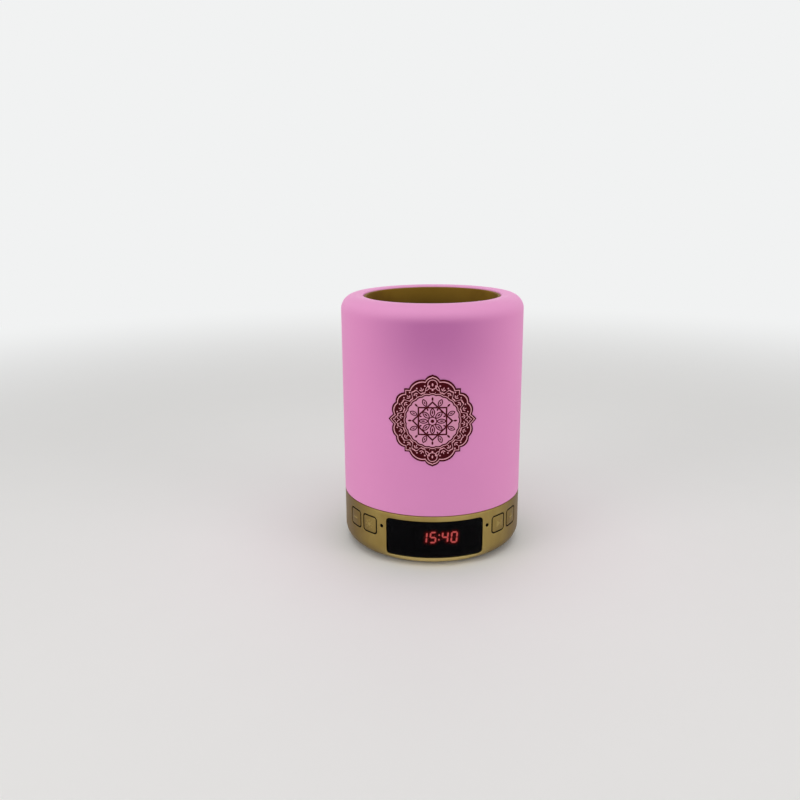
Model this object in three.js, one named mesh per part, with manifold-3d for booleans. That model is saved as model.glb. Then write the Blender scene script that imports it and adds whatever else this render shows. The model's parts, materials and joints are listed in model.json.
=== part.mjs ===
// Speaker lamp: a round night light with a clock in its base and a loudspeaker under its open top.
// Millimetres, +Z up, the front faces -Y. Heights are measured up from the underside of the base,
// and the rubber feet lift that underside above the table.
// An azimuth is an angle round the lamp, from the front towards +X.

import * as THREE from 'three';
import { mergeVertices } from 'three/addons/utils/BufferGeometryUtils.js';
import Module from 'manifold-3d';

const wasm = await Module();
wasm.setup();

// Overall form
const bodyRadius = 48.5;
const bodyWall = 2.2;
const seamHeight = 27.7;
const crownHeight = 135;
const shoulderRadius = 7.5;
const baseEdgeRadius = 7.5;
const footStand = 1;

// Clearances and cutting
const seatGap = 0.3;
const seamGap = 0.35;
const adhesiveGap = 0.1;
const overrun = 1;
const weldDistance = 0.001;

// Top opening and the recess below it
const rimDrop = 0.5;
const crownFall = 0.4;
const crownLand = 4.6;
const lipDepth = 5;
const recessDepth = 10;
const bezelWall = 1.5;
const bezelFloorThickness = 3.4;
const bezelFlangeWidth = 2.6;
const bezelFlangeThickness = 2;
const soundHoleMargin = 0.8;

// Touch grille
const grilleThickness = 0.8;
const grilleHoleRadius = 1.5;
const grillePitch = 4.4;

// Base shell
const deckThickness = 2;
const spigotHeight = 2.5;
const spigotWall = 1.7;
const spigotGap = 0.4;
const cableHoleRadius = 5;
const ledgeThickness = 2;
const ledgeWidth = 2.3;
const earRadius = 3.6;
const earHeight = 6;
const boardBossRadius = 3;

// Bottom plate, its screws and feet
const plateMargin = 3;
const plateThickness = 2.4;
const plateScrewInset = 4;
const plateScrewAzimuths = [45, 135, 225, 315];
const counterboreDepth = 1.5;
const footRadius = 5;
const footThickness = 1.6;
const footInset = 10;
const footAzimuths = [0, 90, 180, 270];

// Small screws
const screwHeadRadius = 2;
const screwHeadHeight = 1.2;
const screwShankRadius = 1.1;
const screwHoleGap = 0.35;
const plateScrewLength = 6;
const boardScrewLength = 4;
const speakerScrewLength = 5.5;

// Clock window
const windowWidth = 49.1;
const windowEdgeDrop = 2.55;
const windowTopDrop = 3.2;
const windowCorner = 2;
const paneInset = 0.3;
const paneThickness = 1.6;
const paneFlangeWidth = 1.6;
const paneFlangeThickness = 1.4;
const paneFlangeReach = 3;

// Clock display
const displayAzimuth = 3.8;
const displayWidth = 25;
const displayDepth = 6;
const displayGap = 1.1;
const displayCentreDrop = 0.625;
const digitHeight = 6;
const digitWidth = 3.4;
const digitPitch = 4.5;
const colonSpace = 1.6;
const segmentWidth = 0.75;
const segmentGap = 0.16;
const segmentDepth = 0.4;
const digitLeanShare = 0.08;

// Buttons
const buttonInset = 3.55;
const buttonLand = 2.15;
const buttonWidth = 10.2;
const buttonHeight = 9.8;
const buttonTopDrop = 4.8;
const buttonCorner = 1.4;
const buttonGap = 0.35;
const buttonFlangeReach = 0.8;
const buttonFlangeThickness = 1.3;
const buttonStemRadius = 1.6;
const buttonStemLength = 1.6;
const buttonTravel = 0.5;

// Switches behind the buttons
const switchWidth = 6;
const switchDepth = 4;
const switchHeight = 6;
const plungerRadius = 1.4;
const plungerLength = 1.7;

// Pinholes, with the microphone behind one and the status light behind the other
const pinholeOffset = 3.2;
const pinholeDrop = 1.85;
const pinholeRadius = 0.8;
const microphoneRadius = 1.8;
const microphoneLength = 2.2;
const statusLightRadius = 1.5;
const statusLightLength = 3.6;

// Rear sockets and the power switch
const usbAzimuth = 180;
const usbWidth = 9;
const usbHeight = 3.3;
const usbDepth = 7.3;
const usbShell = 0.35;
const usbTongueThickness = 0.7;
const usbSetback = 1.6;
const usbApertureWidth = 11.4;
const usbApertureHeight = 6;
const usbApertureCorner = 1.8;
const cardAzimuth = 158;
const cardBodyWidth = 12.4;
const cardBodyDepth = 11.4;
const cardBodyHeight = 2;
const cardSlotWidth = 11.2;
const cardSlotHeight = 1;
const cardSetback = 0.7;
const cardApertureMargin = 0.7;
const powerAzimuth = 202;
const powerBodyWidth = 9;
const powerBodyDepth = 4;
const powerBodyHeight = 4.4;
const powerSetback = 1.5;
const powerTravel = 2;
const powerKnobWidth = 3.2;
const powerKnobHeight = 2.6;
const powerKnobProud = 0.4;
const powerKnobLip = 2.6;
const powerStemWidth = 1.6;
const powerStemHeight = 1.4;
const powerStemDepth = 2;
const powerApertureMargin = 0.4;
const powerRidgeDepth = 0.4;
const powerRidgeWidth = 0.5;

// Main board
const boardMargin = 3.3;
const boardThickness = 1.6;
const boardScrewInset = 10;
const boardScrewAzimuths = [30, 130, 230, 330];

// Battery
const batteryEndSpace = 13.8;
const batteryCapRadius = 3;
const batteryCapHeight = 1;
const saddleThickness = 2;
const saddleHeight = 6;
const saddleWidth = 21;
const saddleInset = 10.5;

// Column and light board
const columnInset = 4.6;
const columnWall = 1.6;
const columnFootWidth = 5;
const columnFootThickness = 2;
const lightBoardInnerGap = 2;
const lightBoardOuterGap = 1.2;
const lightBoardThickness = 1.6;
const lightCount = 12;
const lightSize = 5;
const lightHeight = 1.5;

// Loudspeaker
const gasketThickness = 1;
const gasketWidth = 4;
const driverGap = 0.4;
const flangeWidth = 5;
const flangeThickness = 1.6;
const speakerScrewAzimuths = [45, 135, 225, 315];
const speakerPilotDepth = 2.4;
const basketWall = 1;
const basketTaper = 5.5;
const basketBaseThickness = 1.4;
const basketHoleGap = 1.4;
const landingShare = 0.5556;
const basketWindowWidth = 11;
const basketWindowHeight = 4.4;
const surroundWidth = 4.4;
const coneDepth = 7;
const coneThickness = 0.6;
const coneTravel = 1;
const surroundRollHeight = 2.4;
const surroundThickness = 0.5;
const spiderDrop = 1.4;
const spiderThickness = 0.5;
const spiderMargin = 1.1;
const spiderWave = 0.8;
const dustCapLand = 1;
const dustCapHeight = 3;
const dustCapThickness = 0.5;
const coilShare = 0.3208;
const coilGap = 0.5;
const coilWall = 0.4;
const coilLength = 9.6;
const topPlateThickness = 3;
const topPlateInset = 1;
const magnetOverhang = 0.5;
const magnetThickness = 7;
const yokePlateInset = 0.5;
const yokePlateThickness = 2.5;

// Medallion on the front of the shade
const medallionHeight = 77.9;
const medallionRadius = 19.3;
const medallionHead = 3.9;
const medallionHeadReach = 22.7;
const medallionShoulder = 7;
const medallionShoulderReach = 21.3;
const medallionShoulderDegrees = 19.5;
const medallionCornerAcross = 13.8;
const medallionCornerUp = 16;
const medallionLobe = 4.7;
const medallionLobeReach = 20.85;
const medallionLobeDegrees = [56, 72.5];
const medallionTip = 2.45;
const medallionTipWidthDegrees = 9;
const medallionSegments = 120;
const medallionRoundSegments = 24;
const medallionPlate = 0.25;
const medallionRelief = 0.25;
const medallionBorder = 1.3;
const medallionGroundRadius = 13.4;
const medallionStarRadius = 9.6;
const medallionStarInnerShare = 0.62;
const medallionStarPoints = 8;
const medallionBossRadius = 3;

// Facets
const outerSegments = 40;
const columnSegments = 28;
const innerSegments = 16;
const smallSegments = 8;

// Heights and radii that follow from the sizes above
const innerRadius = bodyRadius - bodyWall;
const deckUnderside = seamHeight - deckThickness;
const plateCeiling = plateThickness + seatGap;
const ledgeTop = plateCeiling + ledgeThickness;
const plateRadius = bodyRadius - baseEdgeRadius - plateMargin;
const ledgeInner = plateRadius + seatGap - ledgeWidth;
const plateScrewCircle = plateRadius - plateScrewInset;
const footCircle = plateRadius - footInset;
const spigotOuter = innerRadius - spigotGap;
const boardRadius = innerRadius - boardMargin;
const boardScrewCircle = boardRadius - boardScrewInset;
const batteryLength = 2 * (innerRadius - batteryEndSpace);
const saddleSpread = batteryLength - 2 * saddleInset;
const windowTop = seamHeight - windowTopDrop;
const windowBottom = baseEdgeRadius - windowEdgeDrop;
const displayCentreHeight = (windowBottom + windowTop) / 2 - displayCentreDrop;
const buttonTop = seamHeight - buttonTopDrop;
const buttonBottom = buttonTop - buttonHeight;
const buttonCentre = (buttonBottom + buttonTop) / 2;
const boardUnderside = buttonCentre + switchHeight / 2 + seatGap;
const boardTop = boardUnderside + boardThickness;
const hangingTop = boardUnderside - seatGap;
const pinholeHeight = hangingTop - pinholeDrop;
const batteryRadius = (hangingTop - plateThickness - seatGap) / 2;
const usbCentre = hangingTop - usbHeight / 2;
const cardCentre = hangingTop - cardBodyHeight / 2;
const powerCentre = hangingTop - powerBodyHeight / 2;
const openingRadius = bodyRadius - shoulderRadius - rimDrop - crownLand;
const rimHeight = crownHeight - crownFall - rimDrop;
const recessFloor = rimHeight - recessDepth;
const bezelUnderside = recessFloor - bezelFloorThickness;
const bezelOuter = openingRadius - seatGap;
const bezelInner = bezelOuter - bezelWall;
const columnRadius = bezelOuter - columnInset;
const columnFoot = seamHeight + seatGap;
const columnTop = bezelUnderside - seatGap;
const lightBoardInner = columnRadius + lightBoardInnerGap;
const lightBoardOuter = spigotOuter - spigotWall - lightBoardOuterGap;
const flangeOuter = columnRadius - columnWall - driverGap;
const flangeInner = flangeOuter - flangeWidth;
const gasketInner = flangeOuter - gasketWidth;
const soundHoleRadius = flangeInner + soundHoleMargin;
const speakerScrewCircle = flangeOuter - screwHeadRadius;
const basketBaseOuter = flangeInner - basketTaper;
const coneRimRadius = flangeInner - surroundWidth;
const gasketTop = bezelUnderside - seatGap;
const flangeTop = gasketTop - gasketThickness - seatGap;
const flangeUnderside = flangeTop - flangeThickness;
const coneRimHeight = flangeUnderside + surroundThickness;
const coneNeckHeight = coneRimHeight - coneDepth;
const coilInner = coilShare * flangeInner;
const coilOuter = coilInner + coilWall;
const poleRadius = coilInner - coilGap;
const polePlateHole = coilOuter + coilGap;
const basketHoleInner = coilOuter + basketHoleGap;
const magnetHole = basketHoleInner;
const basketLandingInner = basketHoleInner + landingShare * (basketBaseOuter - basketHoleInner);
const magnetRadius = basketBaseOuter + magnetOverhang;
const topPlateRadius = magnetRadius - topPlateInset;
const yokePlateRadius = magnetRadius - yokePlateInset;
const spiderOuter = basketBaseOuter - spiderMargin;
const coneNeckRadius = coilOuter + seatGap;
const dustCapRadius = coneNeckRadius + dustCapLand;
const spiderHeight = coneNeckHeight - spiderDrop;
const landingTop = spiderHeight - seatGap;
const basketBaseTop = landingTop - 2 * coneTravel;
const basketBottom = basketBaseTop - basketBaseThickness;
const topPlateTop = basketBottom - seatGap;
const magnetTop = topPlateTop - topPlateThickness - seatGap;
const yokePlateTop = magnetTop - magnetThickness - seatGap;

const toRadians = THREE.MathUtils.degToRad;
const arcDegrees = (length) => THREE.MathUtils.radToDeg(length / bodyRadius);
const windowEdgeAzimuth = THREE.MathUtils.radToDeg(Math.asin(windowWidth / 2 / bodyRadius));
const pinholeAzimuth = windowEdgeAzimuth + arcDegrees(pinholeOffset);
const innerButton = pinholeAzimuth + arcDegrees(buttonInset + buttonWidth / 2);
const outerButton = innerButton + arcDegrees(buttonWidth + buttonLand);
const buttonAzimuths = [-outerButton, -innerButton, innerButton, outerButton];
const paneBackAtDisplay = Math.sqrt(
  (bodyRadius - paneInset - paneThickness) ** 2 - (displayWidth / 2) ** 2,
);
const displayFaceRadius = paneBackAtDisplay - displayGap;

// Points of a circular arc in the plane of a profile, angles in degrees from outwards to upwards.
function arcPoints(centreX, centreY, radius, fromDegrees, toDegrees, steps) {
  return Array.from({ length: steps + 1 }, (_, i) => {
    const angle = toRadians(fromDegrees + ((toDegrees - fromDegrees) * i) / steps);
    return [centreX + radius * Math.cos(angle), centreY + radius * Math.sin(angle)];
  });
}

// A body turned round the Z axis from (radius, height) points. Azimuth zero is the front.
function revolve(profile, segments = outerSegments) {
  const points = profile.map(([radius, height]) => new THREE.Vector2(radius, height));
  const [first, last] = [points[0], points[points.length - 1]];
  if (first.x !== 0 || last.x !== 0) {
    points.push(first.clone());
  }
  return new THREE.LatheGeometry(points, segments).rotateX(Math.PI / 2);
}

// A ring of rectangular section.
function ring(inner, outer, bottom, top, segments = outerSegments) {
  return revolve([[inner, bottom], [outer, bottom], [outer, top], [inner, top]], segments);
}

// A disc or pin standing on the Z axis.
function disc(radius, bottom, top, segments = smallSegments) {
  return revolve([[0, bottom], [radius, bottom], [radius, top], [0, top]], segments);
}

// A box from its limits along each axis.
function block(fromX, toX, fromY, toY, fromZ, toZ) {
  const box = new THREE.BoxGeometry(toX - fromX, toY - fromY, toZ - fromZ);
  return box.translate((fromX + toX) / 2, (fromY + toY) / 2, (fromZ + toZ) / 2);
}

// A rectangle with round corners, centred on the origin of its plane.
function roundedRectangle(width, height, corner) {
  const shape = new THREE.Shape();
  const [x, y] = [width / 2 - corner, height / 2 - corner];
  shape.absarc(x, y, corner, 0, Math.PI / 2);
  shape.absarc(-x, y, corner, Math.PI / 2, Math.PI);
  shape.absarc(-x, -y, corner, Math.PI, 1.5 * Math.PI);
  shape.absarc(x, -y, corner, 1.5 * Math.PI, 2 * Math.PI);
  return shape;
}

// An outline drawn as seen from the front, made into a bar between two distances from the axis.
function frontPrism(shape, fromRadius, toRadius, height = 0, curveSegments = 1) {
  const options = { depth: toRadius - fromRadius, bevelEnabled: false, curveSegments };
  const bar = new THREE.ExtrudeGeometry(shape, options).rotateX(Math.PI / 2);
  return bar.translate(0, -fromRadius, height);
}

// A pin along a radius of the lamp, on the front.
function radialPin(radius, fromRadius, toRadius, height, segments = smallSegments) {
  return disc(radius, fromRadius, toRadius, segments).rotateX(Math.PI / 2).translate(0, 0, height);
}

// A geometry as a solid: shared corners joined, flat-to-nothing triangles left out, faces outwards.
function solid(geometry) {
  const plain = geometry.clone();
  plain.deleteAttribute('normal');
  plain.deleteAttribute('uv');
  const joined = mergeVertices(plain, weldDistance);
  const places = joined.attributes.position.array;
  const corner = (index) => new THREE.Vector3().fromArray(places, 3 * index);
  const triangles = [];
  let volume = 0;
  for (let i = 0; i < joined.index.count; i += 3) {
    const [a, b, c] = [0, 1, 2].map((k) => joined.index.getX(i + k));
    if (a !== b && b !== c && c !== a) {
      triangles.push([a, b, c]);
      volume += corner(a).dot(corner(b).cross(corner(c)));
    }
  }
  const faced = volume < 0 ? triangles.map(([a, b, c]) => [a, c, b]) : triangles;
  const triVerts = new Uint32Array(faced.flat());
  return new wasm.Manifold(new wasm.Mesh({ numProp: 3, vertProperties: places, triVerts }));
}

const asSolid = (body) => (body.isBufferGeometry ? solid(body) : body);
const join = (first, ...others) => others.reduce((sum, next) => sum.add(asSolid(next)), asSolid(first));
const cut = (first, ...others) => {
  return others.reduce((rest, next) => rest.subtract(asSolid(next)), asSolid(first));
};
const common = (first, second) => asSolid(first).intersect(asSolid(second));

// A solid back as a geometry for a mesh.
function toGeometry(body) {
  const { vertProperties, triVerts } = asSolid(body).getMesh();
  const geometry = new THREE.BufferGeometry();
  geometry.setAttribute('position', new THREE.BufferAttribute(new Float32Array(vertProperties), 3));
  geometry.setIndex(new THREE.BufferAttribute(new Uint32Array(triVerts), 1));
  geometry.computeVertexNormals();
  return geometry;
}

const finish = (color, roughness, metalness = 0) => () => {
  return new THREE.MeshStandardMaterial({ color, roughness, metalness });
};
const finishes = {
  bronze: finish('#8c7d50', 0.45, 0.35),
  darkBronze: finish('#5e4d22', 0.5, 0.35),
  diffuser: finish('#d480b4', 0.55),
  smokedPane: finish('#08080a', 0.12),
  maroon: finish('#4f1322', 0.5, 0.1),
  blackPlastic: finish('#17171a', 0.5),
  whitePlastic: finish('#e6e3da', 0.55),
  circuitBoard: finish('#1f5a34', 0.5),
  lightBoard: finish('#eceae4', 0.45),
  steel: finish('#a9abad', 0.35, 0.9),
  ferrite: finish('#2b2b2d', 0.7, 0.2),
  rubber: finish('#202022', 0.85),
  cellWrap: finish('#3a6fae', 0.4),
  paper: finish('#26241f', 0.85),
  copper: finish('#b06a38', 0.35, 0.8),
  fabric: finish('#b99a55', 0.9),
};

const lamp = new THREE.Group();
const raised = new THREE.Group();
raised.position.z = footStand;
lamp.add(raised);

// A group turned to an azimuth, for pieces that are drawn at the front.
function turned(azimuth) {
  const group = new THREE.Group();
  group.rotation.z = toRadians(azimuth);
  raised.add(group);
  return group;
}

function addPart(name, body, makeMaterial, parent = raised) {
  const mesh = new THREE.Mesh(toGeometry(body), makeMaterial());
  mesh.name = name;
  parent.add(mesh);
}

const turnTo = (geometry, azimuth) => geometry.rotateZ(toRadians(azimuth));

// A geometry drawn on the Z axis, moved out to a circle of the lamp.
function onCircle(geometry, circle, azimuth) {
  return turnTo(geometry.translate(0, -circle, 0), azimuth);
}

// A pan-head screw pointing up, its head's seating face at the given height.
function screwUp(seatHeight, length) {
  return revolve([
    [0, seatHeight - screwHeadHeight],
    [screwHeadRadius, seatHeight - screwHeadHeight],
    [screwHeadRadius, seatHeight],
    [screwShankRadius, seatHeight],
    [screwShankRadius, seatHeight + length],
    [0, seatHeight + length],
  ], smallSegments);
}

const screwHole = (bottom, top) => disc(screwShankRadius + screwHoleGap, bottom, top);

// The outside of the base, inset by a given amount: a straight side on a round lower edge.
function baseSide(inset, fromDegrees, topHeight, steps = 5) {
  const centre = bodyRadius - baseEdgeRadius;
  const edge = arcPoints(centre, baseEdgeRadius, baseEdgeRadius - inset, fromDegrees, 0, steps);
  return [...edge, [bodyRadius - inset, topHeight]];
}

// The base shell: side wall, deck that closes it at the seam, spigot for the shade,
// ledge for the bottom plate, screw ears and the bosses that the main board hangs from.
function baseShell() {
  const ledgeRise = (ledgeTop - baseEdgeRadius) / (baseEdgeRadius - bodyWall);
  const ledgeDegrees = THREE.MathUtils.radToDeg(Math.asin(ledgeRise));
  const body = revolve([
    [plateRadius + seatGap, 0],
    ...baseSide(0, -90, seamHeight, 5),
    [spigotOuter, seamHeight],
    [spigotOuter, seamHeight + spigotHeight],
    [spigotOuter - spigotWall, seamHeight + spigotHeight],
    [spigotOuter - spigotWall, seamHeight],
    [cableHoleRadius, seamHeight],
    [cableHoleRadius, deckUnderside],
    ...baseSide(bodyWall, ledgeDegrees, deckUnderside, 1).reverse(),
    [ledgeInner, ledgeTop],
    [ledgeInner, plateCeiling],
    [plateRadius + seatGap, plateCeiling],
  ]);
  const ears = plateScrewAzimuths.map((azimuth) => {
    return onCircle(disc(earRadius, plateCeiling, plateCeiling + earHeight), plateScrewCircle, azimuth);
  });
  const bosses = boardScrewAzimuths.map((azimuth) => {
    const boss = disc(boardBossRadius, boardTop + seatGap, deckUnderside + deckThickness / 2);
    return onCircle(boss, boardScrewCircle, azimuth);
  });
  const wallCut = (width, tall, corner, height, curveSegments) => {
    const start = Math.sqrt(innerRadius ** 2 - (width / 2) ** 2) - bodyWall;
    const shape = roundedRectangle(width, tall, corner);
    return frontPrism(shape, start, bodyRadius + overrun, height, curveSegments);
  };
  const windowCut = () => {
    const centre = (windowBottom + windowTop) / 2;
    return wallCut(windowWidth, windowTop - windowBottom, windowCorner, centre, 2);
  };
  const buttonCut = () => wallCut(buttonWidth, buttonTop - buttonBottom, buttonCorner, buttonCentre);
  const cardHeight = cardSlotHeight + 2 * cardApertureMargin;
  const cardWidth = cardSlotWidth + 2 * cardApertureMargin;
  const powerHeight = powerKnobHeight + 2 * powerApertureMargin;
  const powerWidth = powerKnobWidth + powerTravel + 2 * powerApertureMargin;
  const pinholeBack = innerRadius - bodyWall;
  const pinhole = () => radialPin(pinholeRadius, pinholeBack, bodyRadius + overrun, pinholeHeight);
  const shankHole = () => screwHole(plateCeiling - overrun, plateCeiling + earHeight - overrun);
  const boardPilot = () => screwHole(boardTop - overrun, deckUnderside + deckThickness / 2);
  return cut(
    join(body, ...ears, ...bosses),
    windowCut(),
    ...buttonAzimuths.map((azimuth) => turnTo(buttonCut(), azimuth)),
    ...[-pinholeAzimuth, pinholeAzimuth].map((azimuth) => turnTo(pinhole(), azimuth)),
    turnTo(wallCut(usbApertureWidth, usbApertureHeight, usbApertureCorner, usbCentre), usbAzimuth),
    turnTo(wallCut(cardWidth, cardHeight, cardHeight / 4, cardCentre), cardAzimuth),
    turnTo(wallCut(powerWidth, powerHeight, powerHeight / 4, powerCentre), powerAzimuth),
    ...plateScrewAzimuths.map((azimuth) => onCircle(shankHole(), plateScrewCircle, azimuth)),
    ...boardScrewAzimuths.map((azimuth) => onCircle(boardPilot(), boardScrewCircle, azimuth)),
  );
}

// The bottom plate, with counterbores, foot pockets and two saddles for the battery.
function bottomPlate() {
  const plate = disc(plateRadius, 0, plateThickness, outerSegments);
  const saddles = [-1, 1].map((side) => {
    const centre = (side * saddleSpread) / 2;
    const [from, to] = [centre - saddleThickness / 2, centre + saddleThickness / 2];
    const [bottom, top] = [plateThickness / 2, plateThickness + saddleHeight];
    return block(from, to, -saddleWidth / 2, saddleWidth / 2, bottom, top);
  });
  const cellSpace = batteryBar(batteryRadius + seatGap, batteryLength);
  const counterbore = () => disc(screwHeadRadius + seatGap, -overrun, counterboreDepth);
  const shankHole = () => screwHole(0, plateThickness + overrun);
  const pocketDepth = footThickness - footStand + seatGap;
  const pocket = () => disc(footRadius + seatGap, -overrun, pocketDepth, 2 * smallSegments);
  return cut(
    join(plate, ...saddles),
    cellSpace,
    ...plateScrewAzimuths.map((azimuth) => onCircle(counterbore(), plateScrewCircle, azimuth)),
    ...plateScrewAzimuths.map((azimuth) => onCircle(shankHole(), plateScrewCircle, azimuth)),
    ...footAzimuths.map((azimuth) => onCircle(pocket(), footCircle, azimuth)),
  );
}

// A bar along X where the battery lies, on the saddles.
function batteryBar(radius, length) {
  const bar = disc(radius, -length / 2, length / 2, innerSegments).rotateY(Math.PI / 2);
  return bar.translate(0, 0, plateThickness + seatGap + batteryRadius);
}

function batteryCell() {
  const half = batteryLength / 2;
  const cell = revolve([
    [0, -half],
    [batteryRadius, -half],
    [batteryRadius, half - batteryCapHeight],
    [batteryCapRadius, half - batteryCapHeight],
    [batteryCapRadius, half],
    [0, half],
  ], innerSegments).rotateY(Math.PI / 2);
  return cell.translate(0, 0, plateThickness + seatGap + batteryRadius);
}

// The shade: a straight side, a round shoulder, a crown that falls a little to the opening
// and a lip turned down into it.
function diffuserShade() {
  const shoulderCentre = bodyRadius - shoulderRadius;
  const shoulderHeight = crownHeight - shoulderRadius;
  const lipBottom = rimHeight - lipDepth;
  return revolve([
    [innerRadius, seamHeight + seamGap],
    [bodyRadius, seamHeight + seamGap],
    ...arcPoints(shoulderCentre, shoulderHeight, shoulderRadius, 0, 90, 5),
    ...arcPoints(openingRadius + rimDrop, rimHeight, rimDrop, 90, 180, 2),
    [openingRadius, lipBottom],
    [openingRadius + bodyWall, lipBottom],
    ...arcPoints(shoulderCentre, shoulderHeight, shoulderRadius - bodyWall, 84, 0, 3),
  ]);
}

// The cup in the opening: a ring wall, a flange that catches under the shade's lip,
// and a floor ring that the grille lies on and the loudspeaker hangs from.
function topBezel() {
  const flangeTopHeight = rimHeight - lipDepth - seatGap;
  const cup = revolve([
    [soundHoleRadius, bezelUnderside],
    [bezelOuter, bezelUnderside],
    [bezelOuter, flangeTopHeight - bezelFlangeThickness],
    [bezelOuter + bezelFlangeWidth, flangeTopHeight - bezelFlangeThickness],
    [bezelOuter + bezelFlangeWidth, flangeTopHeight],
    [bezelOuter, flangeTopHeight],
    [bezelOuter, rimHeight],
    [bezelInner, rimHeight],
    [bezelInner, recessFloor],
    [soundHoleRadius, recessFloor],
  ]);
  const pilots = speakerScrewAzimuths.map((azimuth) => {
    const pilot = screwHole(bezelUnderside - overrun, bezelUnderside + speakerPilotDepth);
    return onCircle(pilot, speakerScrewCircle, azimuth);
  });
  return cut(cup, ...pilots);
}

// Centres of a hexagonal pattern of holes that fill a round field.
function hexagonalPlaces(fieldRadius, pitch) {
  const places = [];
  const rows = Math.ceil(fieldRadius / pitch) + 1;
  for (let row = -rows; row <= rows; row += 1) {
    for (let column = -rows; column <= rows; column += 1) {
      const x = pitch * (column + (row % 2 ? 0.5 : 0));
      const y = pitch * row * Math.sin(Math.PI / 3);
      if (Math.hypot(x, y) <= fieldRadius) {
        places.push([x, y]);
      }
    }
  }
  return places;
}

// The touch grille, perforated over the sound hole.
function touchGrille() {
  const rim = arcPoints(0, 0, bezelInner - seatGap, 0, 360, outerSegments).slice(1);
  const outline = new THREE.Shape(rim.map(([x, y]) => new THREE.Vector2(x, y)));
  for (const [x, y] of hexagonalPlaces(soundHoleRadius - grilleHoleRadius, grillePitch)) {
    const hole = new THREE.Path();
    hole.absarc(x, y, grilleHoleRadius, 0, 2 * Math.PI, true);
    outline.holes.push(hole);
  }
  const options = { depth: grilleThickness, bevelEnabled: false, curveSegments: 3 };
  const sheet = new THREE.ExtrudeGeometry(outline, options);
  return sheet.translate(0, 0, recessFloor + seatGap);
}

// The curved clock pane, with a flange low on each side that is bonded behind the base's wall.
function displayWindow() {
  const lowDegrees = -45;
  const centre = (windowBottom + windowTop) / 2;
  const width = windowWidth - 2 * seatGap;
  const pane = revolve([
    ...baseSide(paneInset, lowDegrees, seamHeight),
    ...baseSide(paneInset + paneThickness, lowDegrees, seamHeight).reverse(),
  ]);
  const face = roundedRectangle(width, windowTop - windowBottom - 2 * seatGap, windowCorner);
  const flangeLow = windowBottom + windowCorner;
  const flangeHigh = pinholeHeight - microphoneRadius - 2 * seatGap;
  const flangeCentre = (flangeLow + flangeHigh) / 2;
  const behind = (inner, outer, wide) => {
    const shape = roundedRectangle(wide, flangeHigh - flangeLow, windowCorner);
    return common(
      ring(inner, outer, ledgeTop, deckUnderside),
      frontPrism(shape, 0, bodyRadius, flangeCentre),
    );
  };
  const flangeOuterRadius = innerRadius - seatGap;
  const flangeInnerRadius = flangeOuterRadius - paneFlangeThickness;
  const paneMiddle = bodyRadius - paneInset - paneThickness / 2;
  const reach = windowWidth / 2 - paneFlangeReach;
  const middle = block(-reach, reach, -bodyRadius, 0, 0, seamHeight);
  const flanges = join(
    behind(flangeInnerRadius, flangeOuterRadius, width + 2 * paneFlangeWidth),
    behind(flangeOuterRadius - paneFlangeThickness / 2, paneMiddle, width),
  );
  return join(
    common(pane, frontPrism(face, 0, bodyRadius + overrun, centre, 2)),
    cut(flanges, middle),
  );
}

// One bar of a digit, pointed at both ends, lying along X or standing along Y.
function segmentShape(centreX, centreY, length, upright) {
  const [half, point] = [length / 2, segmentWidth / 2];
  const corners = [
    [-half, 0], [point - half, -point], [half - point, -point],
    [half, 0], [half - point, point], [point - half, point],
  ];
  return new THREE.Shape(corners.map(([along, across]) => {
    const [x, y] = upright ? [-across, along] : [along, across];
    const lifted = centreY + y;
    return new THREE.Vector2(centreX + x + digitLeanShare * lifted, lifted);
  }));
}

// The seven bars of one digit, centred on its cell.
function digitSegments(centreX) {
  const halfHeight = (digitHeight - segmentWidth) / 2;
  const halfWidth = (digitWidth - segmentWidth) / 2;
  const flat = 2 * halfWidth - segmentGap;
  const tall = halfHeight - segmentGap;
  return [
    ...[-1, 0, 1].map((level) => segmentShape(centreX, level * halfHeight, flat, false)),
    ...[-1, 1].flatMap((side) => [-1, 1].map((level) => {
      return segmentShape(centreX + side * halfWidth, (level * halfHeight) / 2, tall, true);
    })),
  ];
}

// The clock display: a flat block with the bars of four digits and a colon sunk in its face.
function displayModule() {
  const top = hangingTop;
  const bottom = 2 * displayCentreHeight - top;
  const back = displayFaceRadius - displayDepth;
  const body = block(-displayWidth / 2, displayWidth / 2, -displayFaceRadius, -back, bottom, top);
  const firstCell = -1.5 * digitPitch - colonSpace / 2;
  const cells = [0, 1, 2, 3].map((i) => firstCell + i * digitPitch + (i > 1 ? colonSpace : 0));
  const dots = [-1, 1].map((side) => {
    const height = (side * digitHeight) / 5;
    const dot = new THREE.Shape();
    dot.absarc(digitLeanShare * height, height, segmentWidth / 2, 0, 2 * Math.PI);
    return dot;
  });
  const sunk = (shape) => {
    const floor = displayFaceRadius - segmentDepth;
    return frontPrism(shape, floor, displayFaceRadius + overrun, displayCentreHeight, 3);
  };
  return cut(body, ...cells.flatMap(digitSegments).map(sunk), ...dots.map(sunk));
}

// The main board, hung under the deck.
function mainBoard() {
  const board = disc(boardRadius, boardUnderside, boardTop, columnSegments);
  const hole = () => screwHole(boardUnderside - overrun, boardTop + overrun);
  return cut(
    board,
    disc(cableHoleRadius, boardUnderside - overrun, boardTop + overrun),
    ...boardScrewAzimuths.map((azimuth) => onCircle(hole(), boardScrewCircle, azimuth)),
  );
}

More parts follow.
